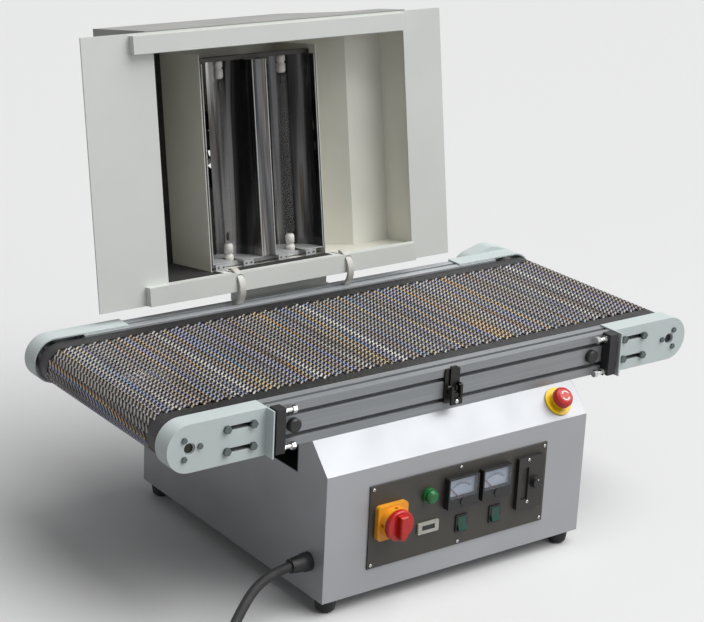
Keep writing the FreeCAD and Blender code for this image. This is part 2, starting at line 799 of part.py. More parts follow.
lever_y = (latch_y - lever_thickness - latch_pin, latch_y - latch_pin)
lever_sides = (latch_x - lever_half, latch_x + lever_half)
lever = span_box(lever_sides, lever_y, (latch_z - lever_length, latch_z + 2))
claw_half = claw_width / 2 + 2 * fit_gap
claw_way = (latch_x - claw_half, latch_x + claw_half)
claw_way_z = (latch_z - claw_drop - 2 * latch_pin, latch_z + latch_pin)
lever = lever.cut(span_box(claw_way, (lever_y[0] - 1, lever_y[1] + 1), claw_way_z))
claw_y = latch_y + latch_pin / 2
claw_z = latch_z - claw_drop
claw_boss = 2 * claw_pin
pin_room = latch_pin + 2 * running_gap
for side in (-1, 1):
    lug_x = sorted((latch_x + side * lever_half, latch_x + side * stub_start))
    lug = span_box(lug_x, (lever_y[1], claw_y), (claw_z - claw_boss / 2, latch_z + 2))
    lug = lug.fuse(rod(claw_boss, at(lug_x[0], claw_y, claw_z), along_x, lever_lug))
    lug = lug.fuse(rod(latch_pin * 1.7, at(lug_x[0], latch_y, latch_z), along_x, lever_lug))
    pin_way = rod(pin_room, at(lug_x[0] - 1, latch_y, latch_z), along_x, lever_lug + 2)
    lever = lever.fuse(lug).cut(pin_way)
claw_pin_start = at(latch_x - stub_start - 1, claw_y, claw_z)
lever = lever.fuse(rod(claw_pin, claw_pin_start, along_x, 2 * stub_start + 2))
save("latch_lever", lever.removeSplitter())
claw_x = (latch_x - claw_width / 2, latch_x + claw_width / 2)
claw_back = claw_y + claw_pin / 2 + claw_thickness
claw = rod(claw_boss, at(claw_x[0], claw_y, claw_z), along_x, claw_width)
claw_front = claw_back - claw_thickness
claw_top = claw_z + claw_rise
claw_strap = span_box(claw_x, (claw_front, claw_back), (claw_z, claw_top))
claw_hook = span_box(claw_x, (claw_front, claw_back + 3), (claw_top - claw_thickness, claw_top))
claw_eye = rod(claw_pin + 2 * running_gap, at(claw_x[0] - 1, claw_y, claw_z), along_x, claw_width + 2)
save("latch_claw", claw.fuse([claw_strap, claw_hook]).cut(claw_eye))

# Control panel: a plate over the hatch in the cabinet front, cut out for each device.
panel = span_box(
    (panel_left, panel_left + panel_width), (panel_front, front), (panel_low, panel_low + panel_height),
)


def panel_spot(x, z):
    return at(x, panel_front, z)


def behind(x, z, wide, high):
    # The body of a device, from the panel's front face into the cabinet.
    centre = at(x, panel_front + device_depth / 2, z)
    return middle_box(centre, wide, device_depth, high)


def panel_cut(x, z, wide, high):
    return behind(x, z, wide + 2 * fit_gap, high + 2 * fit_gap)


def panel_hole(x, z, diameter):
    return rod(diameter + 2 * fit_gap, panel_spot(x, z) - along_y, along_y, panel_thickness + 2)


pilot_hole = panel_hole(pilot_x, pilot_z, pilot_body)
isolator_neck = isolator_body * 0.45
neck_hole = panel_hole(isolator_x, isolator_z, isolator_neck)
counter_body = (counter_width - 5, counter_height - 4)
rocker_body = (rocker_width + bezel_rim, rocker_length + bezel_rim)
controller_body = (controller_width * 0.7, controller_height * 0.7)
meter_middles = (meter_x - meter_spacing / 2, meter_x + meter_spacing / 2)
rocker_middles = (rocker_x - rocker_spacing / 2, rocker_x + rocker_spacing / 2)
panel = panel.cut([pilot_hole, neck_hole, panel_cut(counter_x, counter_z, *counter_body)])
panel = panel.cut(panel_cut(controller_x, controller_z, *controller_body))
for x in meter_middles:
    panel = panel.cut(panel_hole(x, meter_z, meter_barrel))
for x in rocker_middles:
    panel = panel.cut(panel_cut(x, rocker_z, *rocker_body))
save("control_panel", panel)

# Main isolator: square base and padlock collar, with a winged handle that turns a quarter.
iso = panel_spot(isolator_x, isolator_z)
iso_half = isolator_plate / 2
iso_plate_y = (panel_front - isolator_plate_thickness, panel_front)
iso_base = rounded_block(
    (isolator_x - iso_half, isolator_x + iso_half),
    iso_plate_y,
    (isolator_z - iso_half, isolator_z + iso_half),
    isolator_plate / 9,
)
collar_start = iso - along_y * isolator_plate_thickness
iso_base = iso_base.fuse(rod(isolator_collar, collar_start, -along_y, isolator_collar_height))
collar_middle = collar_start - along_y * (isolator_collar_height / 2)
for reach in (along_z, -along_x):
    hole_spot = collar_middle + reach * (isolator_collar / 2 - padlock_hole)
    iso_base = iso_base.cut(rod(padlock_hole, hole_spot, reach, padlock_hole * 2))
iso_base = iso_base.fuse(rod(isolator_neck, iso, along_y, panel_thickness))
iso_switch = span_box(
    (isolator_x - isolator_body / 2, isolator_x + isolator_body / 2), (front, front + device_depth),
    (isolator_z - isolator_body / 2, isolator_z + isolator_body / 2),
)
iso_base = iso_base.fuse(iso_switch)
iso_front = collar_start - along_y * isolator_collar_height
shaft_depth = isolator_collar_height + isolator_plate_thickness
iso_bore = rod(isolator_shaft + 2 * running_gap, iso_front - along_y, along_y, shaft_depth + 1)
save("isolator_base", iso_base.cut(iso_bore))
disc_start = iso_front - along_y * fit_gap
iso_knob = rod(isolator_collar, disc_start, -along_y, isolator_disc_height)
iso_knob = iso_knob.makeChamfer(2, [e for e in iso_knob.Edges if e.BoundBox.YMax < disc_start.y - 1])
disc_front = disc_start.y - isolator_disc_height
wing_half = isolator_wing_width / 2
wing_reach = isolator_collar / 2 - 2
wing_outline = [
    at(isolator_x - wing_half, disc_front + 1, isolator_z + wing_reach * 0.8),
    at(isolator_x + wing_half, disc_front + 1, isolator_z + wing_reach * 0.8),
    at(isolator_x + wing_half, disc_front + 1, isolator_z - wing_reach * 0.7),
    at(isolator_x, disc_front + 1, isolator_z - wing_reach),
    at(isolator_x - wing_half, disc_front + 1, isolator_z - wing_reach * 0.7),
]
wing = prism(wing_outline, at(0, -isolator_wing_height - 1, 0))
wing_rim = [e for e in wing.Edges if e.BoundBox.YMax < disc_front - isolator_wing_height + 0.1]
wing = wing.makeChamfer(2, wing_rim)
iso_knob = iso_knob.fuse(wing).fuse(rod(isolator_shaft, disc_start, along_y, shaft_depth - 2))
save("isolator_knob", iso_knob)

pilot = panel_spot(pilot_x, pilot_z)
pilot_ring = pilot_diameter / 6
pilot_base = rod(pilot_diameter, pilot, -along_y, pilot_ring)
pilot_base = pilot_base.fuse(rod(pilot_body, pilot, along_y, device_depth))
lens = domed(pilot_diameter * 0.86, pilot - along_y * pilot_ring, -along_y, pilot_diameter * 0.4)
save("pilot_lamp", [pilot_base, lens])

counter_y = (panel_front - 4, panel_front)
counter = rounded_block(
    (counter_x - counter_width / 2, counter_x + counter_width / 2),
    counter_y,
    (counter_z - counter_height / 2, counter_z + counter_height / 2),
    2,
)
window_middle = at(counter_x, counter_y[0], counter_z)
counter_window = middle_box(window_middle, counter_width * 0.62, 3, counter_height * 0.45)
counter = counter.cut(counter_window).fuse(behind(counter_x, counter_z, *counter_body))
save("hour_counter", counter)

# Needle meters: a tray case with its barrel, a pale dial, a needle, a clear window and a lower cover.
case_front = panel_front - meter_depth
dial_top = meter_z + meter_height / 2 - meter_rim
dial_low = dial_top - dial_height
floor_y = panel_front - meter_floor
needle_z = dial_low - needle_length * 0.2
cases, dials, windows, covers = [], [], [], []
needles = []
for x in meter_middles:
    half = meter_width / 2
    case_z = (meter_z - meter_height / 2, meter_z + meter_height / 2)
    case = rounded_block((x - half, x + half), (case_front, panel_front), case_z, meter_rim)
    room_x = (x - half + meter_rim, x + half - meter_rim)
    room_z = (case_z[0] + meter_rim, dial_top)
    case = case.cut(span_box(room_x, (case_front - 1, floor_y), room_z))
    case = case.fuse(rod(meter_barrel, panel_spot(x, meter_z), along_y, device_depth))
    pivot = at(x, floor_y, needle_z)
    case = case.fuse(rod(needle_pin, pivot + along_y, -along_y, 6))
    cases.append(case)
    lens_x = (room_x[0] + fit_gap, room_x[1] - fit_gap)
    dial_z = (dial_low, dial_top - fit_gap)
    window_y = (case_front, case_front + window_thickness)
    dials.append(span_box(lens_x, (floor_y - 1, floor_y), dial_z))
    windows.append(span_box(lens_x, window_y, dial_z))
    lower = span_box(lens_x, window_y, (room_z[0] + fit_gap, dial_low - fit_gap))
    lower = lower.fuse(rod(meter_rim * 5, at(x, case_front, (room_z[0] + dial_low) / 2), -along_y, 2))
    covers.append(lower)
    hub = rod(needle_pin * 3, pivot - along_y * 2, -along_y, 2)
    needle_x = (x - 0.7, x + 0.7)
    blade = span_box(needle_x, (floor_y - 3.2, floor_y - 2.4), (needle_z, needle_z + needle_length))
    needle = hub.fuse(blade).cut(rod(needle_pin + 2 * running_gap, pivot, -along_y, 8))
    needle.rotate(pivot, along_y, -needle_swing / 2)
    needles.append(needle)
save("meter_cases", cases + dials + covers)
save("meter_windows", windows)
save("meter_needle_left", needles[0])
save("meter_needle_right", needles[1])

# Rocker switches: a bezel with its box, and a two-sloped paddle on a cross pin.
bezels, rockers = [], []
for x in rocker_middles:
    rim_x = rocker_width / 2 + bezel_rim
    rim_z = rocker_length / 2 + bezel_rim
    bezel_y = (panel_front - bezel_height, panel_front)
    bezel_z = (rocker_z - rim_z, rocker_z + rim_z)
    bezel = rounded_block((x - rim_x, x + rim_x), bezel_y, bezel_z, bezel_rim / 2)
    bezel = bezel.fuse(behind(x, rocker_z, *rocker_body))
    way_x = rocker_width / 2 + fit_gap
    way_z = rocker_length / 2 + 1.2
    room_y = (panel_front - bezel_height - 1, panel_front + device_depth * 0.5)
    bezel = bezel.cut(span_box((x - way_x, x + way_x), room_y, (rocker_z - way_z, rocker_z + way_z)))
    pin_start = at(x - way_x - 1, panel_front, rocker_z)
    bezel = bezel.fuse(rod(rocker_pin, pin_start, along_x, 2 * way_x + 2))
    bezels.append(bezel)
    rise = math.tan(math.radians(rocker_tilt)) * rocker_length / 2
    crown = panel_front - bezel_height - 1
    paddle = prism(
        [
            at(x - rocker_width / 2, panel_front + rocker_pin, rocker_z - rocker_length * 0.3),
            at(x - rocker_width / 2, panel_front - 1, rocker_z - rocker_length / 2),
            at(x - rocker_width / 2, crown - rise, rocker_z - rocker_length / 2),
            at(x - rocker_width / 2, crown, rocker_z),
            at(x - rocker_width / 2, crown - rise, rocker_z + rocker_length / 2),
            at(x - rocker_width / 2, panel_front - 1, rocker_z + rocker_length / 2),
            at(x - rocker_width / 2, panel_front + rocker_pin, rocker_z + rocker_length * 0.3),
        ],
        at(rocker_width, 0, 0),
    )
    paddle = paddle.cut(rod(rocker_pin + 2 * running_gap, pin_start, along_x, 2 * way_x + 2))
    paddle.rotate(at(x, panel_front, rocker_z), along_x, -rocker_tilt)
    rockers.append(paddle)
save("rocker_bezels", bezels)
save("rocker_left", rockers[0])
save("rocker_right", rockers[1])

# Speed controller: a stepped face with a sunk slot, and a knob on a short shaft.
controller_y = (panel_front - controller_depth, panel_front)
face_half = controller_width / 2
face_rise = controller_height / 2
controller = rounded_block(
    (controller_x - face_half, controller_x + face_half), controller_y,
    (controller_z - face_rise, controller_z + face_rise), 3,
)
controller = controller.fuse(behind(controller_x, controller_z, *controller_body))
sunk_x = (controller_x - face_half * 0.72, controller_x - face_half * 0.2)
sunk_z = (controller_z - face_rise * 0.62, controller_z + face_rise * 0.62)
controller = controller.cut(span_box(sunk_x, (controller_y[0] - 1, controller_y[0] + 4), sunk_z))
knob_spot = at(controller_x + speed_knob_offset, controller_y[0], controller_z)
knob_bore = rod(speed_shaft + 2 * running_gap, knob_spot - along_y, along_y, controller_depth + 12)
save("speed_controller", controller.cut(knob_bore))
knob_start = knob_spot - along_y * fit_gap
speed_knob = Part.makeCone(
    speed_knob_diameter / 2, speed_knob_diameter * 0.42, speed_knob_height, knob_start, -along_y,
)
pointer_spot = knob_start + at(0, -speed_knob_height, speed_knob_diameter * 0.26)
speed_knob = speed_knob.fuse(rod(speed_shaft, knob_start, along_y, controller_depth + 8))
speed_knob = speed_knob.cut(rod(speed_knob_diameter / 8, pointer_spot - along_y, along_y, 2))
save("speed_knob", speed_knob)

# Emergency stop on the sloped edge: collar with a sleeve through the sheet, and a mushroom button.
collar = rod(estop_collar, estop_seat, slope_normal, estop_collar_height)
collar = collar.fuse(rod(estop_head * 0.8, estop_seat, slope_normal, estop_neck_height))
collar = collar.fuse(rod(stem_sleeve, estop_seat, -slope_normal, estop_stem_length))
collar_front = estop_seat + slope_normal * estop_neck_height
stem_run = estop_stem_length + estop_neck_height + 2
save("estop_collar", collar.cut(rod(stem_hole, collar_front + slope_normal, -slope_normal, stem_run)))
head_start = collar_front + slope_normal * (estop_travel + fit_gap)
button = domed(estop_head, head_start, slope_normal, estop_head_height)
button = button.fuse(rod(estop_stem, head_start, -slope_normal, estop_stem_length))
save("estop_button", button)

# Supply lead: a tapered gland, a drooping run to the floor and the rest in a flat coil with its plug.
gland = rod(gland_diameter, gland_seat, -along_x, gland_nut)
cone_start = gland_seat - along_x * gland_nut
cone_radii = (gland_diameter / 2 - 1, gland_tip / 2)
gland_cone = Part.makeCone(*cone_radii, gland_length - gland_nut, cone_start, -along_x)
gland = gland.fuse(gland_cone).fuse(rod(gland_thread, gland_seat, along_x, 4 * sheet))
gland_bore = rod(cord_diameter + 2 * fit_gap, gland_seat + along_x * 20, -along_x, gland_length + 30)
save("cable_gland", gland.cut(gland_bore))


def sweep_tube(edges):
    start = edges[0].valueAt(edges[0].FirstParameter)
    heading = edges[0].tangentAt(edges[0].FirstParameter)
    ring = Part.Wire(Part.makeCircle(cord_diameter / 2, start, heading))
    return Part.Wire(edges).makePipeShell([ring], True, False)


def rounded_run(points):
    # Straight runs joined by tangent arcs that take most of the shorter run.
    edges, here = [], points[0]
    for before, corner, after in zip(points, points[1:], points[2:]):
        come, go = corner - before, after - corner
        turn = come.getAngle(go)
        cut = 0.45 * min(come.Length, go.Length)
        come.normalize()
        go.normalize()
        enter, leave = corner - come * cut, corner + go * cut
        lean = go - come
        lean.normalize()
        radius = cut / math.tan(turn / 2)
        crown = corner + lean * (radius / math.cos(turn / 2) - radius)
        edges += [Part.makeLine(here, enter), Part.Arc(enter, crown, leave).toShape()]
        here = leave
    return edges + [Part.makeLine(here, points[-1])]


cord_route = [at(left + x, gland_y + y, z) for x, y, z in cord_points]
save("power_cord", sweep_tube(rounded_run(cord_route)))

coil_start = cord_route[-1]
coil_heading = coil_start - cord_route[-2]
coil_heading.z = 0
coil_heading.normalize()
half_turn_count = coil_turns / 2
outer_radius = coil_inner_radius + coil_spacing * half_turn_count
coil_centre = coil_start + at(-coil_heading.y, coil_heading.x, 0) * outer_radius
start_angle = math.atan2(coil_start.y - coil_centre.y, coil_start.x - coil_centre.x)


def coil_point(turns):
    # In towards the middle on the lower layer, a climb over half a turn, and out again on the upper one.
    away = abs(turns - half_turn_count)
    radius = coil_inner_radius + coil_spacing * away
    lift = min(1, max(0, (turns - half_turn_count) * 2 + 0.5))
    lift = lift * lift * (3 - 2 * lift)
    angle = start_angle + 2 * math.pi * turns
    return coil_centre + at(radius * math.cos(angle), radius * math.sin(angle), coil_lift * lift)


def coil_heading_at(turns):
    small = 0.004
    step = coil_point(turns + small) - coil_point(turns - small)
    return step.normalize()


def arc_from(start, heading, end):
    chord = end - start
    lean = heading - chord * (heading.dot(chord) / chord.dot(chord))
    angle = heading.getAngle(chord)
    lean.normalize()
    crown = start + chord / 2 + lean * (chord.Length / 2 * math.tan(angle / 2))
    return Part.Arc(start, crown, end).toShape()


def biarc(start, start_heading, end, end_heading):
    gap = end - start
    both = start_heading + end_heading
    spread = 2 * (1 - start_heading.dot(end_heading))
    along = gap.dot(both)
    reach = (-along + math.sqrt(along * along + spread * gap.dot(gap))) / spread
    joint = (start + end + (start_heading - end_heading) * reach) / 2
    first = arc_from(start, start_heading, joint)
    back_arc = arc_from(end, -end_heading, joint)
    middle = back_arc.valueAt((back_arc.FirstParameter + back_arc.LastParameter) / 2)
    return [first, Part.Arc(joint, middle, end).toShape()]


coil_marks = [coil_turns * step / coil_steps for step in range(coil_steps + 1)]
coil_spots = [coil_point(mark) for mark in coil_marks]
coil_headings = [coil_heading_at(mark) for mark in coil_marks]
coil_headings[0] = coil_heading
lead_out = coil_headings[-1]
lead_out.z = 0
lead_out.normalize()
coil_edges = []
coil_stops = list(zip(coil_spots, coil_headings))
for stop, next_stop in zip(coil_stops, coil_stops[1:]):
    coil_edges += biarc(*stop, *next_stop)
plug_start = coil_spots[-1] + lead_out * coil_tail
coil_edges.append(Part.makeLine(coil_spots[-1], plug_start))
save("cord_coil", sweep_tube(coil_edges))

# Round industrial plug lying on the floor beside the coil: a ribbed grip, a skirt and its pins.
plug_axis = at(plug_start.x, plug_start.y, plug_start.z)
plug_grip = plug_diameter * 0.72
plug = Part.makeCone(plug_grip * 0.36, plug_grip / 2, plug_length * 0.25, plug_axis, lead_out)
plug = plug.fuse(rod(plug_grip, plug_axis + lead_out * plug_length * 0.25, lead_out, plug_length * 0.35))
skirt_start = plug_axis + lead_out * plug_length * 0.6
skirt = rod(plug_diameter, skirt_start, lead_out, plug_length * 0.4)
skirt = skirt.cut(rod(plug_diameter - 8, skirt_start + lead_out * 6, lead_out, plug_length))
plug = plug.fuse(skirt)
sideways = at(-lead_out.y, lead_out.x, 0)
for turn in range(5):
    angle = 2 * math.pi * turn / 5 + math.pi / 2
    radial = sideways * math.cos(angle) + along_z * math.sin(angle)
    pin_start = skirt_start + radial * (plug_diameter * 0.26)
    plug = plug.fuse(rod(plug_pin, pin_start, lead_out, plug_length * 0.34))
save("mains_plug", plug)

# Hood pieces are laid out closed, flat over the rails, and then swung open about the hinge.
hood_left = hood_centre - hood_width / 2
face_z = rail_top + strip_gap + strip_height
hinge_edge = rail_back + hinge_overhang
pivot_y = hinge_edge - hinge_t
pivot_z = face_z + hinge_q


def hood_spot(a, t, q):
    return at(hood_left + a, hinge_edge - t, face_z + q)


def hood_box(a, t, q):
    low, high = hood_spot(a[0], t[1], q[0]), hood_spot(a[1], t[0], q[1])
    return span_box((low.x, high.x), (low.y, high.y), (low.z, high.z))


def opened(shape):
    swung = shape.copy()
    swung.rotate(at(0, pivot_y, pivot_z), along_x, -90 - hood_open_lean)
    return swung


def save_open(name, pieces):
    save(name, [opened(piece) for piece in pieces])


# Gooseneck arms stand in the top slot of the rear rail and curl through the hood to its hinge pins.
rear_slot_y = (belt_back + rail_back) / 2
arm_radius = math.hypot(pivot_y - rear_slot_y, pivot_z - rail_top)


def arm_ring(x, width, inner, outer):
    ring = rod(2 * outer, at(x - width / 2, pivot_y, pivot_z), along_x, width)
    return ring.cut(rod(2 * inner, at(x - width / 2 - 1, pivot_y, pivot_z), along_x, width + 2))


arms = []
end_turn = math.radians(arm_end_angle)
end_way = at(0, math.cos(end_turn), math.sin(end_turn))
end_side = at(0, -math.sin(end_turn), math.cos(end_turn))
pivot_height = pivot_z - rail_top
for place in arm_places:
    x = hood_left + place
    pivot = at(x, pivot_y, pivot_z)
    bow = arm_ring(x, arm_width, arm_radius - arm_thickness / 2, arm_radius + arm_thickness / 2)
    far = 3 * arm_radius
    keep = prism(
        [
            pivot + at(-arm_width, 0, 0),
            pivot + at(-arm_width, 0, 0) + end_way * far,
            pivot + at(-arm_width, -far, far),
            pivot + at(-arm_width, -far, -far),
            pivot + at(-arm_width, 0, -far),
        ],
        at(2 * arm_width, 0, 0),
    )
    bow = bow.common(keep)
    bow = bow.cut(middle_box(pivot - at(0, 0, pivot_height + far / 2), 2 * arm_width, 2 * far, far))
    foot_half = slot_mouth / 2 - 0.1
    foot = span_box(
        (x - arm_width / 2, x + arm_width / 2), (rear_slot_y - foot_half, rear_slot_y + foot_half),
        (rail_top - slot_depth, rail_top + arm_thickness / 3),
    )
    web = prism(
        [
            pivot + at(-arm_width / 2, 0, 0),
            pivot + at(-arm_width / 2, 0, 0) + end_side * arm_thickness,
            pivot + at(-arm_width / 2, 0, 0) + end_side * arm_thickness + end_way * arm_radius,
            pivot + at(-arm_width / 2, 0, 0) + end_way * arm_radius,
        ],
        at(arm_width, 0, 0),
    )
    eye = rod(2 * ear_radius, at(x - arm_width / 2, pivot_y, pivot_z), along_x, arm_width)
    arm = bow.fuse([foot, web, eye]).removeSplitter()
    pin_way = rod(hinge_pin + 2 * running_gap, at(x - arm_width, pivot_y, pivot_z), along_x, 2 * arm_width)
    arms.append(arm.cut(pin_way))
save("hinge_arms", arms)

arm_ways = [
    arm_ring(
        hood_left + place, arm_width + 2 * arm_clearance,
        arm_radius - arm_thickness / 2 - arm_clearance, arm_radius + arm_thickness / 2 + arm_clearance,
    )
    for place in arm_places
]

# Ears on the back of the hood plate hold a headed pin on both sides of each arm.
ears, pins = [], []
ear_gap = arm_width / 2 + fit_gap
for place in arm_places:
    for side in (-1, 1):
        ear_a = sorted((place + side * ear_gap, place + side * (ear_gap + ear_thickness)))
        ear_spot = hood_spot(ear_a[0], hinge_t, hinge_q)
        ear = hood_box(ear_a, (hinge_t - ear_radius, hinge_t + ear_radius), (hood_plate_sheet, hinge_q))
        ear = ear.fuse(rod(2 * ear_radius, ear_spot, along_x, ear_thickness))
        ears.append(ear.cut(rod(hinge_pin, ear_spot - along_x, along_x, ear_thickness + 2)))
    reach = ear_gap + ear_thickness
    pin = rod(hinge_pin, hood_spot(place - reach, hinge_t, hinge_q), along_x, 2 * reach)
    for side in (-1, 1):
        head_spot = hood_spot(place + side * reach, hinge_t, hinge_q)
        pin = pin.fuse(rod(hinge_pin * 1.4, head_spot, along_x * side, hinge_pin / 4))
    pins.append(pin)
save_open("hinge_pins", pins)

# Stop plate on the rear rail: it jogs back and its top edge carries the open hood.
lean = math.radians(hood_open_lean)
stop_face = rail_back + stop_back
rise = cover_low - hinge_t
run = (stop_face - pivot_y - rise * math.sin(lean)) / math.cos(lean)
stop_top = pivot_z + rise * math.cos(lean) - run * math.sin(lean) - fit_gap
jog_z = rail_top - 3 * stop_sheet
stop_left = stop_offset - stop_width / 2
stop_low = axle_z - slot_pitch / 2
stop_points = [
    (rail_back, stop_low),
    (rail_back + stop_sheet, stop_low),
    (rail_back + stop_sheet, jog_z),
    (stop_face, jog_z),
    (stop_face, stop_top),
    (stop_face - stop_sheet, stop_top),
    (stop_face - stop_sheet, jog_z + stop_sheet),
    (rail_back, jog_z + stop_sheet),
]
stop_plate = prism([at(stop_left, y, z) for y, z in stop_points], at(stop_width, 0, 0))
save("hinge_stop_plate", stop_plate)

# Hood plate with the lamp bay cut out of it, and a light-trap strip folded along each rail.
plate = hood_box((0, hood_width), (0, hood_height), (0, hood_plate_sheet))
plate = plate.cut(hood_box((bay_start, bay_end), (bay_low, bay_high), (-1, hood_plate_sheet + 1)))
save_open("hood_plate", [plate.cut(arm_ways).fuse(ears)])

strips = []
strip_a = (strip_start, strip_start + strip_length)
for strip_t in ((0, rear_strip_width), (front_strip_end - front_strip_width, front_strip_end)):
    strip = hood_box(strip_a, strip_t, (-strip_height, 0))
    room_t = (strip_t[0] + sheet, strip_t[1] - sheet)
    room_a = (strip_a[0] + sheet, strip_a[1] - sheet)
    strip = strip.cut(hood_box(room_a, room_t, (sheet - strip_height, 1)))
    strips.append(strip.cut(arm_ways))
save_open("hood_strips", strips)

# Hood cover: folded shell that slopes to a low shelf on one side, notched below for the arms.
top_wall = hood_height + fit_gap
cover_outline = [
    hood_spot(cover_start, cover_low, hood_plate_sheet),
    hood_spot(cover_start, cover_low, cover_height),
    hood_spot(cover_flat_end, cover_low, cover_height),
    hood_spot(cover_shelf, cover_low, cover_shoulder),
    hood_spot(cover_end, cover_low, cover_shoulder),
    hood_spot(cover_end, cover_low, hood_plate_sheet),
]
cover_run = top_wall + sheet - cover_low
cover = prism(cover_outline, at(0, -cover_run, 0))
plate_top = face_z + hood_plate_sheet
room_low = plate_top - 2 * sheet
room_outline = [at(p.x, p.y - sheet, p.z if p.z > plate_top else room_low) for p in cover_outline]
cover = cover.cut(inset_prism(room_outline, sheet, at(0, 2 * sheet - cover_run, 0)))
top_edge = hood_box((cover_start, cover_end), (top_wall, top_wall + sheet), (0, hood_plate_sheet))
cover = cover.fuse(top_edge)
sweep_reach = arm_radius + arm_thickness / 2 + arm_clearance
for place in arm_places:
    notch_half = arm_width / 2 + arm_clearance
    notch_a = (place - notch_half, place + notch_half)
    notch_t = (cover_low - 1, cover_low + sheet + 1)
    cover = cover.cut(hood_box(notch_a, notch_t, (0, hinge_q + sweep_reach)))
fan_a = (baffle_places[0] + baffle_places[1]) / 2
fan_seat = hood_spot(fan_a, fan_t, cover_height - sheet)
cover = cover.cut(rod(fan_bore, fan_seat - along_z, along_z, sheet + 2))
save_open("hood_cover", [cover.removeSplitter()])

# Baffles stand on the ceiling and the lower wall on both sides of the lamps.
ceiling = cover_height - sheet
lower_wall = cover_low + sheet
baffles = []
for place, side in zip(baffle_places, (-1, 1)):
    baffle_a = sorted((place, place + side * baffle_sheet))
    web = hood_box(baffle_a, (lower_wall, baffle_high), (baffle_front, ceiling))
    lip_a = sorted((place, place + side * holder_width / 2))
    lip = hood_box(lip_a, (lower_wall, baffle_high), (ceiling - baffle_sheet, ceiling))
    baffles.append(web.fuse(lip))
save_open("lamp_baffles", baffles)

# Tube lamps: quartz between two ceramic ends, clipped to bars that span the baffles.
tubes, ceramics = [], []
up_hood = -along_y
for place in lamp_places:
    quartz_low = lamp_low + lamp_end_length
    quartz_run = lamp_high - lamp_low - 2 * lamp_end_length
    tubes.append(rod(lamp_diameter, hood_spot(place, quartz_low, lamp_depth), up_hood, quartz_run))
    for end_t in (lamp_low, lamp_high - lamp_end_length):
        end_spot = hood_spot(place, end_t, lamp_depth)
        ceramics.append(rod(lamp_end_diameter, end_spot, up_hood, lamp_end_length))
save_open("uv_lamps", tubes + ceramics)
holder_q = (lamp_depth - holder_width / 2, lamp_depth + holder_width / 2)
holders = [
    hood_box(baffle_places, (lamp_low - holder_thickness, lamp_low), holder_q),
    hood_box(baffle_places, (lamp_high, lamp_high + holder_thickness), holder_q),
]


# Mirror reflectors: two curved halves over each lamp, lipped to the baffles and joined in the middle.
def reflector_half_sheet(place, side, low, high):
    def spot(a, q):
        return hood_spot(place + side * a, low, q)

    def arc_through(start, end, bow):
        run, rise = end[0] - start[0], end[1] - start[1]
        aside = bow / math.hypot(run, rise)
        middle = ((start[0] + end[0]) / 2 + rise * aside, (start[1] + end[1]) / 2 - run * aside)
        return Part.Arc(spot(*start), spot(*middle), spot(*end)).toShape()

    outer_low = (reflector_half, reflector_front)
    outer_high = (reflector_slit, reflector_apex)
    outer = arc_through(outer_low, outer_high, reflector_bow)
    inner_low = (reflector_half - reflector_sheet, reflector_front)
    inner_high = (reflector_slit, reflector_apex - reflector_sheet)
    inner = arc_through(inner_low, inner_high, reflector_bow)
    ends = [
        Part.makeLine(spot(*outer_low), spot(*inner_low)),
        Part.makeLine(spot(*outer_high), spot(*inner_high)),
    ]
    loop = Part.Wire(Part.__sortEdges__([outer, inner] + ends))
    return Part.Face(loop).extrude(up_hood * (high - low))


reflector_high = lamp_high - 1
reflector_t = (reflector_low, reflector_high)
lip_q = (reflector_front, reflector_front + reflector_sheet)
lip_reach = reflector_half - reflector_sheet
left_lip = hood_box((baffle_places[0], lamp_places[0] - lip_reach), reflector_t, lip_q)
right_lip = hood_box((lamp_places[1] + lip_reach, baffle_places[1]), reflector_t, lip_q)
bridge = hood_box((lamp_places[0] + lip_reach, lamp_places[1] - lip_reach), reflector_t, lip_q)
left_outer, left_inner = [reflector_half_sheet(lamp_places[0], side, *reflector_t) for side in (-1, 1)]
right_inner, right_outer = [reflector_half_sheet(lamp_places[1], side, *reflector_t) for side in (-1, 1)]
save_open("lamp_reflectors", [
    left_outer.fuse(left_lip),
    bridge.fuse([left_inner, right_inner]),
    right_outer.fuse(right_lip),
])

# Reflector brackets: small Z pieces from the lower wall to the reflector ends, each with two holes.
brackets = []
for place in bracket_places:
    bracket_a = (place - bracket_width / 2, place + bracket_width / 2)
    foot_t = (lower_wall, lower_wall + bracket_sheet)
    foot_leg = hood_box(bracket_a, foot_t, (reflector_front, holder_q[0] - 1))
    shelf_q = (reflector_front, reflector_front + bracket_sheet)
    shelf = hood_box(bracket_a, (lower_wall, reflector_low), shelf_q)
    upright_t = (reflector_low - bracket_sheet, reflector_low)
    upright = hood_box(bracket_a, upright_t, (reflector_front, bracket_top))
    bracket = foot_leg.fuse([shelf, upright]).removeSplitter()
    hole_t = (lower_wall + reflector_low) / 2
    for side in (-1, 1):
        hole_spot = hood_spot(place + side * bracket_width / 4, hole_t, reflector_front - 1)
        bracket = bracket.cut(rod(bracket_hole, hole_spot, along_z, bracket_sheet + 2))
    brackets.append(bracket)
save_open("lamp_mounts", holders + brackets)

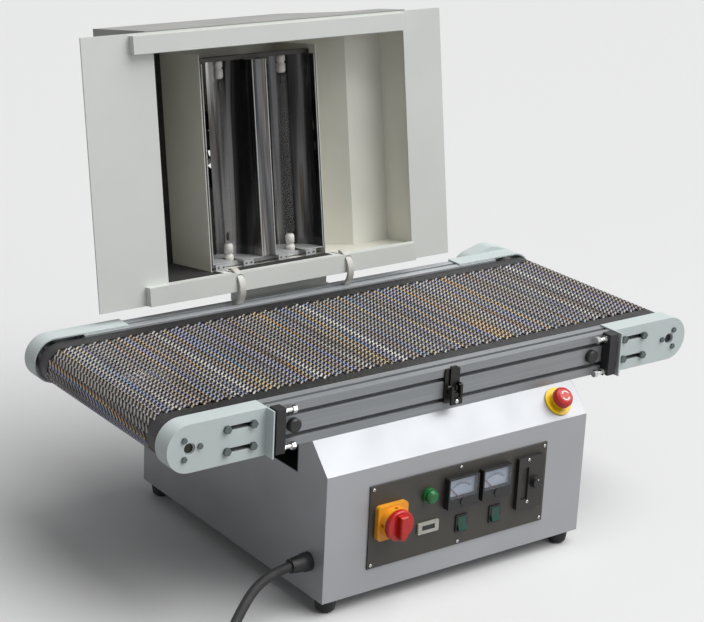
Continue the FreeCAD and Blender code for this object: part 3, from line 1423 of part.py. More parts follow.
# Hood fan under the ceiling: square frame with four struts, a bladed rotor and a slotted guard outside.
fan_q = (ceiling - fan_depth, ceiling)
fan_half = fan_size / 2
frame_a = (fan_a - fan_half, fan_a + fan_half)
frame_t = (fan_t - fan_half, fan_t + fan_half)
fan_frame = hood_box(frame_a, frame_t, fan_q)
fan_low = hood_spot(fan_a, fan_t, fan_q[0])
fan_frame = fan_frame.cut(rod(fan_bore, fan_low - along_z, along_z, fan_depth + 2))
for turn in (0, 90):
    bar = middle_box(fan_low + along_z * fan_strut / 2, fan_bore + 4, fan_strut * 1.5, fan_strut)
    bar.rotate(fan_low, along_z, turn + 45)
    fan_frame = fan_frame.fuse(bar)
fan_frame = fan_frame.fuse(rod(fan_hub, fan_low, along_z, fan_strut))
fan_frame = fan_frame.fuse(rod(fan_spindle, fan_low, along_z, fan_depth - fan_strut)).removeSplitter()
save_open("fan_frame", [fan_frame])
hub_low = fan_low + along_z * (fan_strut + fit_gap)
hub_run = fan_depth - fan_strut - 3 * fit_gap - 2
fan_rotor = rod(fan_hub, hub_low, along_z, hub_run)
blade_reach = fan_bore / 2 - blade_gap
wheel = rod(2 * blade_reach, hub_low, along_z, hub_run)
vane_middle = hub_low + at((blade_reach + fan_hub / 2) / 2, 0, hub_run / 2)
vane_length = blade_reach - fan_hub / 2 + 12
for blade in range(fan_blades):
    vane = middle_box(vane_middle, vane_length, blade_thickness, hub_run * 2)
    vane.rotate(hub_low + along_z * hub_run / 2, along_x, fan_pitch)
    vane.rotate(hub_low, along_z, 360 * blade / fan_blades)
    fan_rotor = fan_rotor.fuse(vane.common(wheel))
fan_rotor = fan_rotor.cut(rod(fan_spindle + 2 * running_gap, hub_low - along_z, along_z, hub_run + 2))
save_open("fan_rotor", [fan_rotor])
guard_spot = hood_spot(fan_a, fan_t, cover_height)
guard = hood_box(frame_a, frame_t, (cover_height, cover_height + guard_sheet))
spoke_height = 10 * guard_sheet
spokes = middle_box(guard_spot, fan_size, guard_spoke, spoke_height)
spokes = spokes.fuse(middle_box(guard_spot, guard_spoke, fan_size, spoke_height))
for ring in range(guard_rings):
    ring_diameter = fan_bore - guard_slot / 2 - 2 * ring * guard_pitch
    band = rod(ring_diameter, guard_spot - along_z, along_z, guard_sheet + 2)
    band = band.cut(rod(ring_diameter - 2 * guard_slot, guard_spot - along_z * 2, along_z, guard_sheet + 4))
    guard = guard.cut(band.cut(spokes))
save_open("fan_guard", [guard])
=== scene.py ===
import bpy, bmesh, math
from mathutils import Matrix, Vector


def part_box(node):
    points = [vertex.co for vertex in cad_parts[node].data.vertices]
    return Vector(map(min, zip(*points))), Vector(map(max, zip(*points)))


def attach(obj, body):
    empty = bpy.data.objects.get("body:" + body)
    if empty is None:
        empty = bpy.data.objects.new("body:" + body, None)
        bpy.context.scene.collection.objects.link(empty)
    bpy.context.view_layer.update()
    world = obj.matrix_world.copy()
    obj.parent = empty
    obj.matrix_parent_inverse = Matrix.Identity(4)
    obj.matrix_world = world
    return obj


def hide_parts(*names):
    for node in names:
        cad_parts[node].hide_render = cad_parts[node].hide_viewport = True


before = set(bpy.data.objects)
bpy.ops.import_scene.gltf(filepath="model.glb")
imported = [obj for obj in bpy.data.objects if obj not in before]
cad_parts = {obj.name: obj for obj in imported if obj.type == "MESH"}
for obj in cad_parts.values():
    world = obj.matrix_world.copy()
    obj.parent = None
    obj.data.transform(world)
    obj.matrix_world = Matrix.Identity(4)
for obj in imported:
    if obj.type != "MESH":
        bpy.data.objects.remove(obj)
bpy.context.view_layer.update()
print("oven frame loaded")

# camera at the photo's angle
photoView = {"place": (-2.0756, -2.8002, 1.6103), "azimuth": -36.827, "elevation": 18.506, "roll": 2.772,
             "lens": 97.69, "shift": (-0.0015, -0.0254), "farthest": 60}


def setCamera(view):
    a, e = math.radians(view["azimuth"]), math.radians(view["elevation"])
    ahead = -Vector((math.sin(a) * math.cos(e), -math.cos(a) * math.cos(e), math.sin(e)))
    across = ahead.cross(Vector((0, 0, 1))).normalized()
    above = across.cross(ahead)
    turn = Matrix.Rotation(math.radians(view["roll"]), 3, -ahead)
    axes = Matrix((turn @ across, turn @ above, -ahead)).transposed()
    lensData = bpy.data.cameras.new("photoCamera")
    lensData.lens = view["lens"]
    lensData.shift_x, lensData.shift_y = view["shift"]
    lensData.clip_end = view["farthest"]
    cam = bpy.data.objects.new("photoCamera", lensData)
    cam.matrix_world = Matrix.Translation(view["place"]) @ axes.to_4x4()
    bpy.context.collection.objects.link(cam)
    bpy.context.scene.camera = cam


setCamera(photoView)


# shared makers: meshes that ride on a body
def addMesh(name, verts, faces, body, finish, smooth=False):
    mesh = bpy.data.meshes.new(name)
    mesh.from_pydata([tuple(v) for v in verts], [], faces)
    mesh.materials.append(finish)
    shape = bmesh.new()
    shape.from_mesh(mesh)
    bmesh.ops.recalc_face_normals(shape, faces=shape.faces[:])
    shape.to_mesh(mesh)
    shape.free()
    if smooth:
        for poly in mesh.polygons:
            poly.use_smooth = True
    piece = bpy.data.objects.new(name, mesh)
    bpy.context.collection.objects.link(piece)
    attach(piece, body)
    return piece


class Lump:
    # gathers many small forms into one mesh
    def __init__(self):
        self.verts, self.faces = [], []

    def box(self, low, high):
        n = len(self.verts)
        xs, ys, zs = zip(low, high)
        self.verts += [(x, y, z) for x in xs for y in ys for z in zs]
        for f in ((0, 1, 3, 2), (4, 6, 7, 5), (0, 4, 5, 1), (2, 3, 7, 6), (0, 2, 6, 4), (1, 5, 7, 3)):
            self.faces.append([n + i for i in f])

    def turned(self, place, axis, rings, sides):
        # lathe: rings are (radius, distance along axis), closed at both ends
        axis = Vector(axis).normalized()
        side = axis.orthogonal().normalized()
        up = axis.cross(side)
        n = len(self.verts)
        for radius, height in rings:
            for k in range(sides):
                w = 2 * math.pi * k / sides
                out = side * math.cos(w) + up * math.sin(w)
                self.verts.append(Vector(place) + axis * height + out * radius)
        for r in range(len(rings) - 1):
            for k in range(sides):
                a, b = n + r * sides + k, n + r * sides + (k + 1) % sides
                self.faces.append([a, b, b + sides, a + sides])
        last = n + (len(rings) - 1) * sides
        self.faces.append([n + k for k in range(sides)][::-1])
        self.faces.append([last + k for k in range(sides)])

    def flat(self, outline, shift):
        # a plate: an outline of points pushed along shift
        n, count = len(self.verts), len(outline)
        self.verts += [Vector(p) for p in outline] + [Vector(p) + Vector(shift) for p in outline]
        self.faces.append([n + k for k in range(count)][::-1])
        self.faces.append([n + count + k for k in range(count)])
        for k in range(count):
            m = (k + 1) % count
            self.faces.append([n + k, n + m, n + count + m, n + count + k])

    def done(self, name, body, finish, slotName, smooth=False):
        return addMesh(name, self.verts, self.faces, body, finish, smooth)


# finishes: clouds of noise in the piece's own metres, drawn out along an axis where a stretch is small
even = (1, 1, 1)
clouds = {"detail": 3.0, "low": 0.3, "high": 0.7}
wear = {"radius": 0.0012, "start": 0.97, "full": 0.75, "strength": 0.6, "patches": 60}
bevelSamples = 4


def linear(r, g, b):
    # a colour read as 0 to 255, turned into the shader's own scale
    return [((c / 255 + 0.055) / 1.055) ** 2.4 if c > 10 else c / 255 / 12.92 for c in (r, g, b)]


def skinOf(finish):
    return finish.node_tree.nodes["Principled BSDF"]


def startFinish(name, colour, metallic, roughness):
    finish = bpy.data.materials.new(name)
    finish.use_nodes = True
    skin = skinOf(finish)
    skin.inputs["Base Color"].default_value = (*colour, 1)
    skin.inputs["Metallic"].default_value = metallic
    skin.inputs["Roughness"].default_value = roughness
    finish.diffuse_color = (*colour, 1)
    return finish


def addNode(finish, kind, inputs=None, **settings):
    # inputs are values by the name of their socket, and settings are the node's own
    node = finish.node_tree.nodes.new(kind)
    for key, value in settings.items():
        setattr(node, key, value)
    for socket, value in (inputs or {}).items():
        node.inputs[socket].default_value = value
    return node


def join(finish, fromSocket, toSocket):
    finish.node_tree.links.new(fromSocket, toSocket)


def speckle(finish, scale, stretch=even):
    where = addNode(finish, "ShaderNodeTexCoord")
    sizing = addNode(finish, "ShaderNodeMapping", {"Scale": stretch})
    noise = addNode(finish, "ShaderNodeTexNoise", {"Scale": scale, "Detail": clouds["detail"]})
    join(finish, where.outputs["Object"], sizing.inputs["Vector"])
    join(finish, sizing.outputs["Vector"], noise.inputs["Vector"])
    return noise.outputs["Fac"]


def cloudColour(finish, bands, scale, stretch=even):
    # bands are (place on the noise, colour), from low to high
    ramp = addNode(finish, "ShaderNodeValToRGB")
    stops = ramp.color_ramp.elements
    for stop, (spot, colour) in zip(stops, (bands[0], bands[-1])):
        stop.position, stop.color = spot, (*colour, 1)
    for spot, colour in bands[1:-1]:
        stops.new(spot).color = (*colour, 1)
    join(finish, speckle(finish, scale, stretch), ramp.inputs["Fac"])
    join(finish, ramp.outputs["Color"], skinOf(finish).inputs["Base Color"])


def cloudRough(finish, rough, scale, stretch=even):
    limits = {"From Min": clouds["low"], "From Max": clouds["high"], "To Min": rough[0], "To Max": rough[1]}
    spread = addNode(finish, "ShaderNodeMapRange", limits)
    join(finish, speckle(finish, scale, stretch), spread.inputs["Value"])
    join(finish, spread.outputs["Result"], skinOf(finish).inputs["Roughness"])


def grain(finish, scale, depth, strength, stretch=even, edge=0.0):
    # fine relief, with sharp corners shaded as if broken by a small radius where an edge is given
    bump = addNode(finish, "ShaderNodeBump", {"Strength": strength, "Distance": depth})
    join(finish, speckle(finish, scale, stretch), bump.inputs["Height"])
    if edge:
        rounded = addNode(finish, "ShaderNodeBevel", {"Radius": edge}, samples=bevelSamples)
        join(finish, rounded.outputs["Normal"], bump.inputs["Normal"])
    join(finish, bump.outputs["Normal"], skinOf(finish).inputs["Normal"])


def blendColour(finish, share):
    # the skin's colour goes from A to B with a share; both sockets are given back
    mix = addNode(finish, "ShaderNodeMix", data_type="RGBA")
    join(finish, share, mix.inputs["Factor"])
    join(finish, [s for s in mix.outputs if s.type == "RGBA"][0], skinOf(finish).inputs["Base Color"])
    return [s for s in mix.inputs if s.type == "RGBA"]


def rubbedEdges(finish, colour):
    # a bevelled normal that parts from the true one marks the edges, where the coat is rubbed
    before = skinOf(finish).inputs["Base Color"].links[0].from_socket
    rounded = addNode(finish, "ShaderNodeBevel", {"Radius": wear["radius"]}, samples=bevelSamples)
    true = addNode(finish, "ShaderNodeNewGeometry")
    same = addNode(finish, "ShaderNodeVectorMath", operation="DOT_PRODUCT")
    limits = {"From Min": wear["start"], "From Max": wear["full"], "To Min": 0.0, "To Max": wear["strength"]}
    mask = addNode(finish, "ShaderNodeMapRange", limits)
    patchy = addNode(finish, "ShaderNodeMath", operation="MULTIPLY")
    join(finish, rounded.outputs["Normal"], same.inputs[0])
    join(finish, true.outputs["Normal"], same.inputs[1])
    join(finish, same.outputs["Value"], mask.inputs["Value"])
    join(finish, mask.outputs["Result"], patchy.inputs[0])
    join(finish, speckle(finish, wear["patches"]), patchy.inputs[1])
    coat, bare = blendColour(finish, patchy.outputs["Value"])
    join(finish, before, coat)
    bare.default_value = (*colour, 1)


# what each kind of coat has unless a finish says otherwise; shades are shares of its colour
coatKinds = {
    "paint": {"metallic": 0.0, "rough": (0.38, 0.52), "shades": (0.95, 1.05), "cloud": 5, "gloss": 14,
              "grain": 900, "depth": 0.0004, "relief": 0.12, "edge": 0.0009, "stretch": even},
    "metal": {"metallic": 1.0, "rough": (0.28, 0.42), "shades": (0.86, 1.0), "cloud": 160, "gloss": 300,
              "grain": 700, "depth": 0.0003, "relief": 0.25, "edge": 0.0006, "stretch": (0.02, 1, 1)},
    "plastic": {"metallic": 0.0, "rough": (0.35, 0.5), "shades": (0.88, 1.08), "cloud": 30, "gloss": 50,
                "grain": 1500, "depth": 0.0004, "relief": 0.2, "edge": 0.0008, "stretch": even},
    "rubber": {"metallic": 0.0, "rough": (0.55, 0.75), "shades": (0.8, 1.5), "cloud": 25, "gloss": 40,
               "grain": 600, "depth": 0.0006, "relief": 0.25, "edge": 0.0, "stretch": even},
}
coats = {
    "paint": {
        "cabinetPaint": {"colour": (172, 174, 177), "metallic": 0.27, "rough": (0.3, 0.42),
                         "worn": (205, 207, 208)},
        "troughBlack": {"colour": (24, 24, 25), "shades": (0.8, 1.2), "rough": (0.45, 0.6),
                        "worn": (90, 90, 90)},
        "hoodGrey": {"colour": (215, 218, 213), "shades": (0.97, 1.03), "rough": (0.36, 0.5),
                     "worn": (228, 228, 224)},
        "hoodCream": {"colour": (230, 229, 219), "shades": (0.94, 1.06), "rough": (0.36, 0.5),
                      "worn": (220, 217, 204)},
        "coverGrey": {"colour": (150, 149, 145), "shades": (0.91, 1.09), "rough": (0.4, 0.55),
                      "worn": (182, 181, 177)},
        "armGrey": {"colour": (206, 204, 197), "shades": (0.94, 1.06), "rough": (0.36, 0.5),
                    "worn": (226, 225, 220)},
        "capPaint": {"colour": (201, 211, 210), "shades": (0.97, 1.03), "rough": (0.32, 0.45),
                     "worn": (230, 236, 235)},
        "panelPaint": {"colour": (60, 57, 51), "shades": (0.94, 1.06), "rough": (0.36, 0.5),
                       "worn": (130, 127, 120)},
        "transformerIron": {"colour": (70, 66, 62), "shades": (0.88, 1.12)},
    },
    "metal": {
        "railAnodised": {"colour": (149, 152, 155), "rough": (0.36, 0.5), "metallic": 0.2},
        # the rear rail's paler copy of the rail aluminium is painted light on its top, where the hood shades
        # it
        "railPaintedLight": {"colour": (192, 196, 199), "rough": (0.3, 0.44), "metallic": 0.35},
        "zincPlate": {"colour": (206, 208, 208), "rough": (0.3, 0.45), "metallic": 0.3,
                      "stretch": (1, 0.1, 1)},
        "plainSteel": {"colour": (170, 171, 170), "rough": (0.25, 0.4), "stretch": (1, 0.03, 1)},
        "brightSteel": {"colour": (214, 214, 212), "rough": (0.12, 0.24), "depth": 0.0001,
                        "stretch": (1, 1, 0.2)},
        "darkSteel": {"colour": (62, 61, 60), "rough": (0.3, 0.5), "stretch": (1, 0.05, 1)},
        "boltSteel": {"colour": (104, 112, 112), "rough": (0.3, 0.45), "stretch": even},
    },
    "plastic": {
        "blackPlastic": {"colour": (30, 30, 31)},
        "greyPlastic": {"colour": (188, 187, 178)},
        "charcoalPlastic": {"colour": (38, 36, 33)},
        "isolatorYellow": {"colour": (246, 168, 40), "rough": (0.28, 0.4)},
        "knobRed": {"colour": (198, 34, 28), "rough": (0.22, 0.34)},
        "stopYellow": {"colour": (246, 206, 20), "rough": (0.3, 0.42)},
        "lampGreen": {"colour": (18, 108, 52), "rough": (0.12, 0.22)},
        "rockerGreen": {"colour": (12, 70, 54), "rough": (0.18, 0.3)},
        "needleRed": {"colour": (150, 40, 36)},
        "ceramicWhite": {"colour": (232, 230, 224)},
    },
    "rubber": {
        "tapeBlack": {"colour": (26, 25, 25), "rough": (0.4, 0.55)},
        "footRubber": {"colour": (28, 28, 28)},
        "leadRubber": {"colour": (34, 34, 35)},
        # a black sheet colour for the painted shade in the hood's bays
        "shadeSheetBlack": {"colour": (40, 39, 37), "rough": (0.8, 0.95)},
    },
}


def mixCoat(name, coat):
    colour = linear(*coat["colour"])
    finish = startFinish(name, colour, coat["metallic"], coat["rough"][0])
    dark, light = [[min(1, c * share) for c in colour] for share in coat["shades"]]
    cloudColour(finish, ((clouds["low"], dark), (clouds["high"], light)), coat["cloud"], coat["stretch"])
    if "worn" in coat:
        rubbedEdges(finish, linear(*coat["worn"]))
    cloudRough(finish, coat["rough"], coat["gloss"], coat["stretch"])
    grain(finish, coat["grain"], coat["depth"], coat["relief"], coat["stretch"], coat["edge"])
    return finish


def bandedCoat(name, coat):
    # colours laid in bands along the noise
    finish = startFinish(name, linear(*coat["colour"]), coat["metallic"], coat["plainRough"])
    bands = [(spot, linear(*colour)) for spot, colour in coat["bands"]]
    cloudColour(finish, bands, coat["cloud"], coat["stretch"])
    return finish


finishes = {}
for kind, members in coats.items():
    for name, coat in members.items():
        finishes[name] = mixCoat(name, {**coatKinds[kind], **coat})

# thin glass: mostly see-through, with a gloss on its face and a little body of its own
glassSet = {"ior": 1.45, "coat": 0.6, "shade": 0.9, "cloud": 30, "gloss": 20}
# the quartz's grey tint is painted shade, for the dark look the tubes take in the lamp bays
glasses = {"quartz": {"colour": (128, 128, 126), "rough": (0.04, 0.1), "body": 0.16},
           "meterWindow": {"colour": (220, 228, 236), "rough": (0.03, 0.09), "body": 0.1}}


def clearGlass(name, glass):
    colour = linear(*glass["colour"])
    finish = startFinish(name, colour, 0.0, glass["rough"][0])
    skinOf(finish).inputs["IOR"].default_value = glassSet["ior"]
    skinOf(finish).inputs["Alpha"].default_value = glass["body"]
    skinOf(finish).inputs["Coat Weight"].default_value = glassSet["coat"]
    dark = [c * glassSet["shade"] for c in colour]
    cloudColour(finish, ((clouds["low"], dark), (clouds["high"], colour)), glassSet["cloud"])
    cloudRough(finish, glass["rough"], glassSet["gloss"])
    return finish


for name, glass in glasses.items():
    finishes[name] = clearGlass(name, glass)

# reflectors: polished sheet, with painted dark and bright reflections streaked along the lamps
mirrorCoat = {"colour": (150, 151, 153), "metallic": 0.62, "plainRough": 0.06,
              "cloud": 40, "stretch": (1, 0.12, 0.02),
              "bands": ((0.3, (40, 40, 41)), (0.44, (66, 66, 68)), (0.53, (118, 118, 118)),
                        (0.57, (92, 84, 78)), (0.62, (214, 214, 212)), (0.68, (246, 246, 246))),
              "rough": (0.05, 0.16), "gloss": 25, "glossStretch": (1, 0.3, 0.2),
              "waves": 11, "waveDepth": 0.006, "waveRelief": 0.35, "waveStretch": (1, 0.4, 0.2)}


def mirrorFinish(coat):
    # waves are the sheet's own, left by its bending
    finish = bandedCoat("lampMirror", coat)
    cloudRough(finish, coat["rough"], coat["gloss"], coat["glossStretch"])
    grain(finish, coat["waves"], coat["waveDepth"], coat["waveRelief"], coat["waveStretch"])
    return finish


finishes["lampMirror"] = mirrorFinish(mirrorCoat)
print("finishes mixed:", len(finishes))

# the finish of each node
dressed = {
    "cabinetPaint": ("cabinet_shell", "base_plate", "back_panel"),
    "troughBlack": ("belt_trough", "slider_bed", "tension_blocks", "gear_motor"),
    "hoodGrey": ("hinge_stop_plate", "hood_plate", "hood_strips"),
    "hoodCream": ("hood_cover", "lamp_baffles"),
    "armGrey": ("hinge_arms",),
    "capPaint": ("end_caps", "rear_right_cap", "drive_back_plate", "drive_cover"),
    "panelPaint": ("control_panel",),
    "transformerIron": ("ballast_transformers",),
    "railAnodised": ("front_rail",),
    # the rear rail takes the paler copy of the rail aluminium, painted light where the hood shades its top
    "railPaintedLight": ("rear_rail",),
    "zincPlate": ("lamp_mounts",),
    "plainSteel": ("flange_bearings", "motor_gear", "roller_gear", "fan_guard"),
    "brightSteel": ("tension_screws", "hinge_pins"),
    # the rollers' dark steel also stands for the painted shade in the bearing holes, where their shaft ends
    # show
    "darkSteel": ("tail_roller", "drive_roller", "latch_base", "latch_lever", "latch_claw"),
    "boltSteel": ("cap_bolts",),
    "blackPlastic": ("bolt_covers", "meter_cases", "rocker_bezels", "speed_knob", "cable_gland",
                     "mains_plug", "fan_frame", "fan_rotor"),
    "greyPlastic": ("hour_counter",),
    "charcoalPlastic": ("speed_controller",),
    "isolatorYellow": ("isolator_base",),
    "knobRed": ("isolator_knob", "estop_button"),
    "stopYellow": ("estop_collar",),
    "lampGreen": ("pilot_lamp",),
    "rockerGreen": ("rocker_left", "rocker_right"),
    "needleRed": ("meter_needle_left", "meter_needle_right"),
    "footRubber": ("rubber_feet",),
    "lampMirror": ("lamp_reflectors",),
    "meterWindow": ("meter_windows",),
}
for finishName, nodes in dressed.items():
    for node in nodes:
        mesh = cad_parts[node].data
        mesh.materials.clear()
        mesh.materials.append(finishes[finishName])
print("nodes dressed:", sum(len(nodes) for nodes in dressed.values()))

# supply lead: the run to the floor, then a flat coil of two layers and its tail to the plug
lead = {"thick": 0.018, "inner": 0.079, "turns": 3.36, "spacing": 0.0192, "lift": 0.0189, "marks": 14,
        "widen": 1.025, "tail": 0.066, "order": 3, "steps": 6, "roundness": 4,
        "run": [(-0.322, -0.337, 0.094), (-0.395, -0.337, 0.094), (-0.478, -0.377, 0.044),
                (-0.547, -0.440, 0.0094), (-0.580, -0.484, 0.0094)]}


def coilMarks(lead):
    # the coil's points, its middle, and the angle at which the run meets it
    start, before = Vector(lead["run"][-1]), Vector(lead["run"][-2])
    heading = (start - before).to_2d().normalized()
    half = lead["turns"] / 2
    outer = lead["inner"] + lead["spacing"] * half
    middle = start + Vector((-heading.y, heading.x, 0)) * outer
    first = math.atan2(start.y - middle.y, start.x - middle.x)
    count = round(lead["turns"] * lead["marks"])
    spots = []
    for k in range(1, count + 1):
        turns = lead["turns"] * k / count
        climb = min(1, max(0, (turns - half) * 2 + 0.5))
        rise = lead["lift"] * climb * climb * (3 - 2 * climb)  # eased from the lower layer to the upper
        radius = (lead["inner"] + lead["spacing"] * abs(turns - half)) * (lead["widen"] if k < count else 1)
        w = first + 2 * math.pi * turns
        spots.append(middle + Vector((radius * math.cos(w), radius * math.sin(w), rise)))
    w = first + 2 * math.pi * lead["turns"]
    ahead, outward = Vector((-math.sin(w), math.cos(w), 0)), Vector((math.cos(w), math.sin(w), 0))
    tail = ahead + outward * lead["spacing"] / (2 * math.pi * outer)
    return spots + [spots[-1] + tail.normalized() * lead["tail"]], middle, first


def layLead(lead, coil):
    route = [Vector(p) for p in lead["run"]] + coil
    line = bpy.data.curves.new("supplyLead", "CURVE")
    line.dimensions = "3D"
    spline = line.splines.new("NURBS")
    spline.points.add(len(route) - 1)
    for point, spot in zip(spline.points, route):
        point.co = (*spot, 1)
    spline.order_u = lead["order"]
    spline.use_endpoint_u = True
    spline.resolution_u = lead["steps"]
    line.bevel_depth = lead["thick"] / 2
    line.bevel_resolution = lead["roundness"]
    line.use_fill_caps = True
    line.materials.append(finishes["leadRubber"])
    piece = bpy.data.objects.new("supplyLead", line)
    bpy.context.collection.objects.link(piece)
    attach(piece, "frame")
    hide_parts("power_cord", "cord_coil")
    return piece


coil, coilMiddle, coilFirst = coilMarks(lead)
supplyLead = layLead(lead, coil)
print("supply lead laid")

# small fasteners that several pieces share, with profiles in shares of their radius
screw = {"head": ((1, 0), (1, 0.28), (0.86, 0.5), (0.6, 0.6)), "sides": 18, "crown": 0.6,
         "slot": (0.55, 0.13), "slotRise": 0.00008, "turn": 0.6}
rivet = {"head": ((1, 0), (0.96, 0.2), (0.7, 0.45), (0.3, 0.55)), "sides": 14}
bolt = {"washer": 1.35, "washerThick": 0.18, "washerSides": 24, "head": ((1, 0), (1, 0.6), (0.86, 0.7))}


def sized(profile, radius):
    return [(radius * r, radius * h) for r, h in profile]


def crossScrew(heads, sinks, place, way, radius, turn=screw["turn"]):
    # a low pan head, and a dark cross laid in its crown as the painted shade of its recess
    place, way = Vector(place), Vector(way).normalized()
    heads.turned(place, way, sized(screw["head"], radius), screw["sides"])
    side = way.orthogonal().normalized()
    up = way.cross(side)
    crown = place + way * radius * screw["crown"]
    length, width = [radius * share for share in screw["slot"]]
    for w in (turn, turn + math.pi / 2):
        along = (side * math.cos(w) + up * math.sin(w)) * length
        across = way.cross(along).normalized() * width
        near, far = crown - along, crown + along
        sinks.flat([near - across, far - across, far + across, near + across], way * screw["slotRise"])


def blindRivet(lump, place, way, radius):
    lump.turned(place, way, sized(rivet["head"], radius), rivet["sides"])


def hexHead(lump, place, way, radius):
    # a washer and a six-sided head with a broken top edge
    way = Vector(way).normalized()
    washer = ((bolt["washer"], 0), (bolt["washer"], bolt["washerThick"]))
    lump.turned(place, way, sized(washer, radius), bolt["washerSides"])
    lump.turned(Vector(place) + way * radius * bolt["washerThick"], way, sized(bolt["head"], radius), 6)


# mesh belt: cross rods, flat spirals slanted between them in staggered rows, a black tape on both edges
belt = {"loopPitch": 0.0115, "rodPitch": 0.0124, "wire": (0.0044, 0.0007), "under": (0.0048, 0.0006),
        "rod": (0.0022, 0.0008), "lift": 0.0005, "inset": 0.0007, "tuck": 0.005,
        "edge": 0.030, "edgeThick": 0.0012, "flatMarks": (0, 0.6, 1.3), "arcSteps": 16,
        "stitch": 0.012, "stitchIn": 0.006, "stitchHalf": 0.0006, "stitchRise": 0.00015}
# coated wire: greys from row to row, with bands of painted colour sheen that run across the belt
beltCoat = {"colour": (150, 144, 138), "metallic": 0.0, "plainRough": 0.4,
            "cloud": 34, "stretch": (1, 0.014, 0.3),
            "bands": ((0.33, (92, 86, 82)), (0.39, (178, 172, 166)), (0.43, (112, 105, 100)),
                      (0.455, (206, 160, 116)), (0.475, (204, 192, 146)), (0.50, (118, 150, 190)),
                      (0.525, (178, 164, 188)), (0.55, (108, 102, 98)), (0.59, (188, 184, 178)),
                      (0.68, (232, 230, 226))),
            "rough": (0.22, 0.44), "gloss": 80, "grain": 2400, "depth": 0.0004, "relief": 0.3}


def beltFinish(coat):
    finish = bandedCoat("beltStrands", coat)
    cloudRough(finish, coat["rough"], coat["gloss"])
    grain(finish, coat["grain"], coat["depth"], coat["relief"])
    return finish


def layBelt(belt):
    low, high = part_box("conveyor_belt")
    middleZ, outer = (low.z + high.z) / 2, (high.z - low.z) / 2
    radius, reach = outer - belt["inset"], (high.x - low.x) / 2 - outer
    halfway = 2 * reach + math.pi * radius  # one run and the turn at its end
    around = 2 * halfway

    def lie(s):
        # x of the run or roller, and the outward way, at a distance s from the left end of the carrying run
        s %= around
        flip = 1 if s < halfway else -1
        s %= halfway
        if s < 2 * reach:
            return flip * (s - reach), 0, flip
        w = (s - 2 * reach) / radius
        return flip * reach, flip * math.sin(w), flip * math.cos(w)

    def spot(s, out=0.0):
        x, wayX, wayZ = lie(s)
        return x + (radius + out) * wayX, middleZ + (radius + out) * wayZ

    def band(lump, y0, y1, inside, outside):
        # a closed tape round the whole loop
        marks, steps = [], belt["arcSteps"]
        for start in (0, halfway):
            marks += [start + share * reach for share in belt["flatMarks"]]
            marks += [start + 2 * reach + math.pi * radius * k / steps for k in range(steps)]
        n, count = len(lump.verts), len(marks)
        for s in marks:
            for out, y in ((inside, y0), (outside, y0), (outside, y1), (inside, y1)):
                x, z = spot(s, out)
                lump.verts.append((x, y, z))
        for k in range(count):
            a, b = n + 4 * k, n + 4 * ((k + 1) % count)
            for i in range(4):
                j = (i + 1) % 4
                lump.faces.append([a + i, a + j, b + j, b + i])

    def strip(lump, ends, section):
        # a flat wire or rod between two ends; a section point is (along, across, out)
        n = len(lump.verts)
        for s, y, out in ends:
            for ds, dy, rise in section:
                x, z = spot(s + ds, out + rise)
                lump.verts.append((x, y + dy, z))
        for i in range(4):
            j = (i + 1) % 4
            lump.faces.append([n + i, n + 4 + i, n + 4 + j, n + j])
        lump.faces += [[n, n + 1, n + 2, n + 3], [n + 7, n + 6, n + 5, n + 4]]

    def stitches(lump, y, rise):
        # a row of stitches along the tape
        h, up = belt["stitchHalf"], belt["stitchRise"]
        for k in range(int(around / belt["stitch"])):
            s = belt["stitch"] * k
            (x, z), (x2, z2) = spot(s, rise), spot(s + belt["stitch"] / 2, rise)
            wayX, wayZ = lie(s)[1:]
            corners = [(x, y - h, z), (x, y + h, z), (x2, y + h, z2), (x2, y - h, z2)]
            lump.flat(corners, (wayX * up, 0, wayZ * up))

    square = ((-0.5, -0.5), (-0.5, 0.5), (0.5, 0.5), (0.5, -0.5))
    wire = [(0, belt["wire"][0] * a, belt["wire"][1] * b) for a, b in square]
    lower = [(0, belt["under"][0] * a, belt["under"][1] * b) for a, b in square]
    rod = [(belt["rod"][0] * a, 0, belt["rod"][1] * b) for a, b in square]
    spirals, under, tape = Lump(), Lump(), Lump()
    y0, y1 = low.y + belt["edge"], high.y - belt["edge"]
    loops, rods = round((y1 - y0) / belt["loopPitch"]), round(around / belt["rodPitch"] / 2) * 2
    pitch, step = (y1 - y0) / loops, around / rods
    lift, sink = belt["lift"], -belt["lift"] / 2
    for k in range(rods):
        s = step * k
        strip(under, [(s, y0 - belt["tuck"], 0), (s, y1 + belt["tuck"], 0)], rod)
        for j in range(loops - k % 2):
            y = y0 + pitch * (j + (k % 2) / 2)
            strip(spirals, [(s, y, lift), (s + step, y + pitch, lift)], wire)
            strip(under, [(s, y + pitch, sink), (s + step, y + pitch, sink)], lower)
    half = belt["edgeThick"] / 2
    for a, b in ((low.y, low.y + belt["edge"]), (high.y - belt["edge"], high.y)):
        band(tape, a, b, -half, half)
        for y in (a + belt["stitchIn"], b - belt["stitchIn"]):
            stitches(tape, y, half)
    mesh = spirals.done("beltMesh", "frame", beltFinish(beltCoat), "mesh")
    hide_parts("conveyor_belt")
    # the rods and lower wires are black, the painted shade of the belt's lower layer
    under.done("beltRods", "frame", finishes["tapeBlack"], "mesh")
    tape.done("beltEdgeTape", "frame", finishes["tapeBlack"], "rubber")
    print("belt woven:", loops, "loops across,", rods, "rods")


layBelt(belt)

# hood places: along the belt, up from the hinge edge and back from the plate, with the hood open as built
hoodSet = {"left": -0.447, "pivot": (0.1664, 0.4306), "hinge": (0.006, 0.0126), "lean": math.radians(8.92)}


def hoodWay(t, q):
    s, c = math.sin(hoodSet["lean"]), math.cos(hoodSet["lean"])
    return Vector((0, t * s + q * c, t * c - q * s))


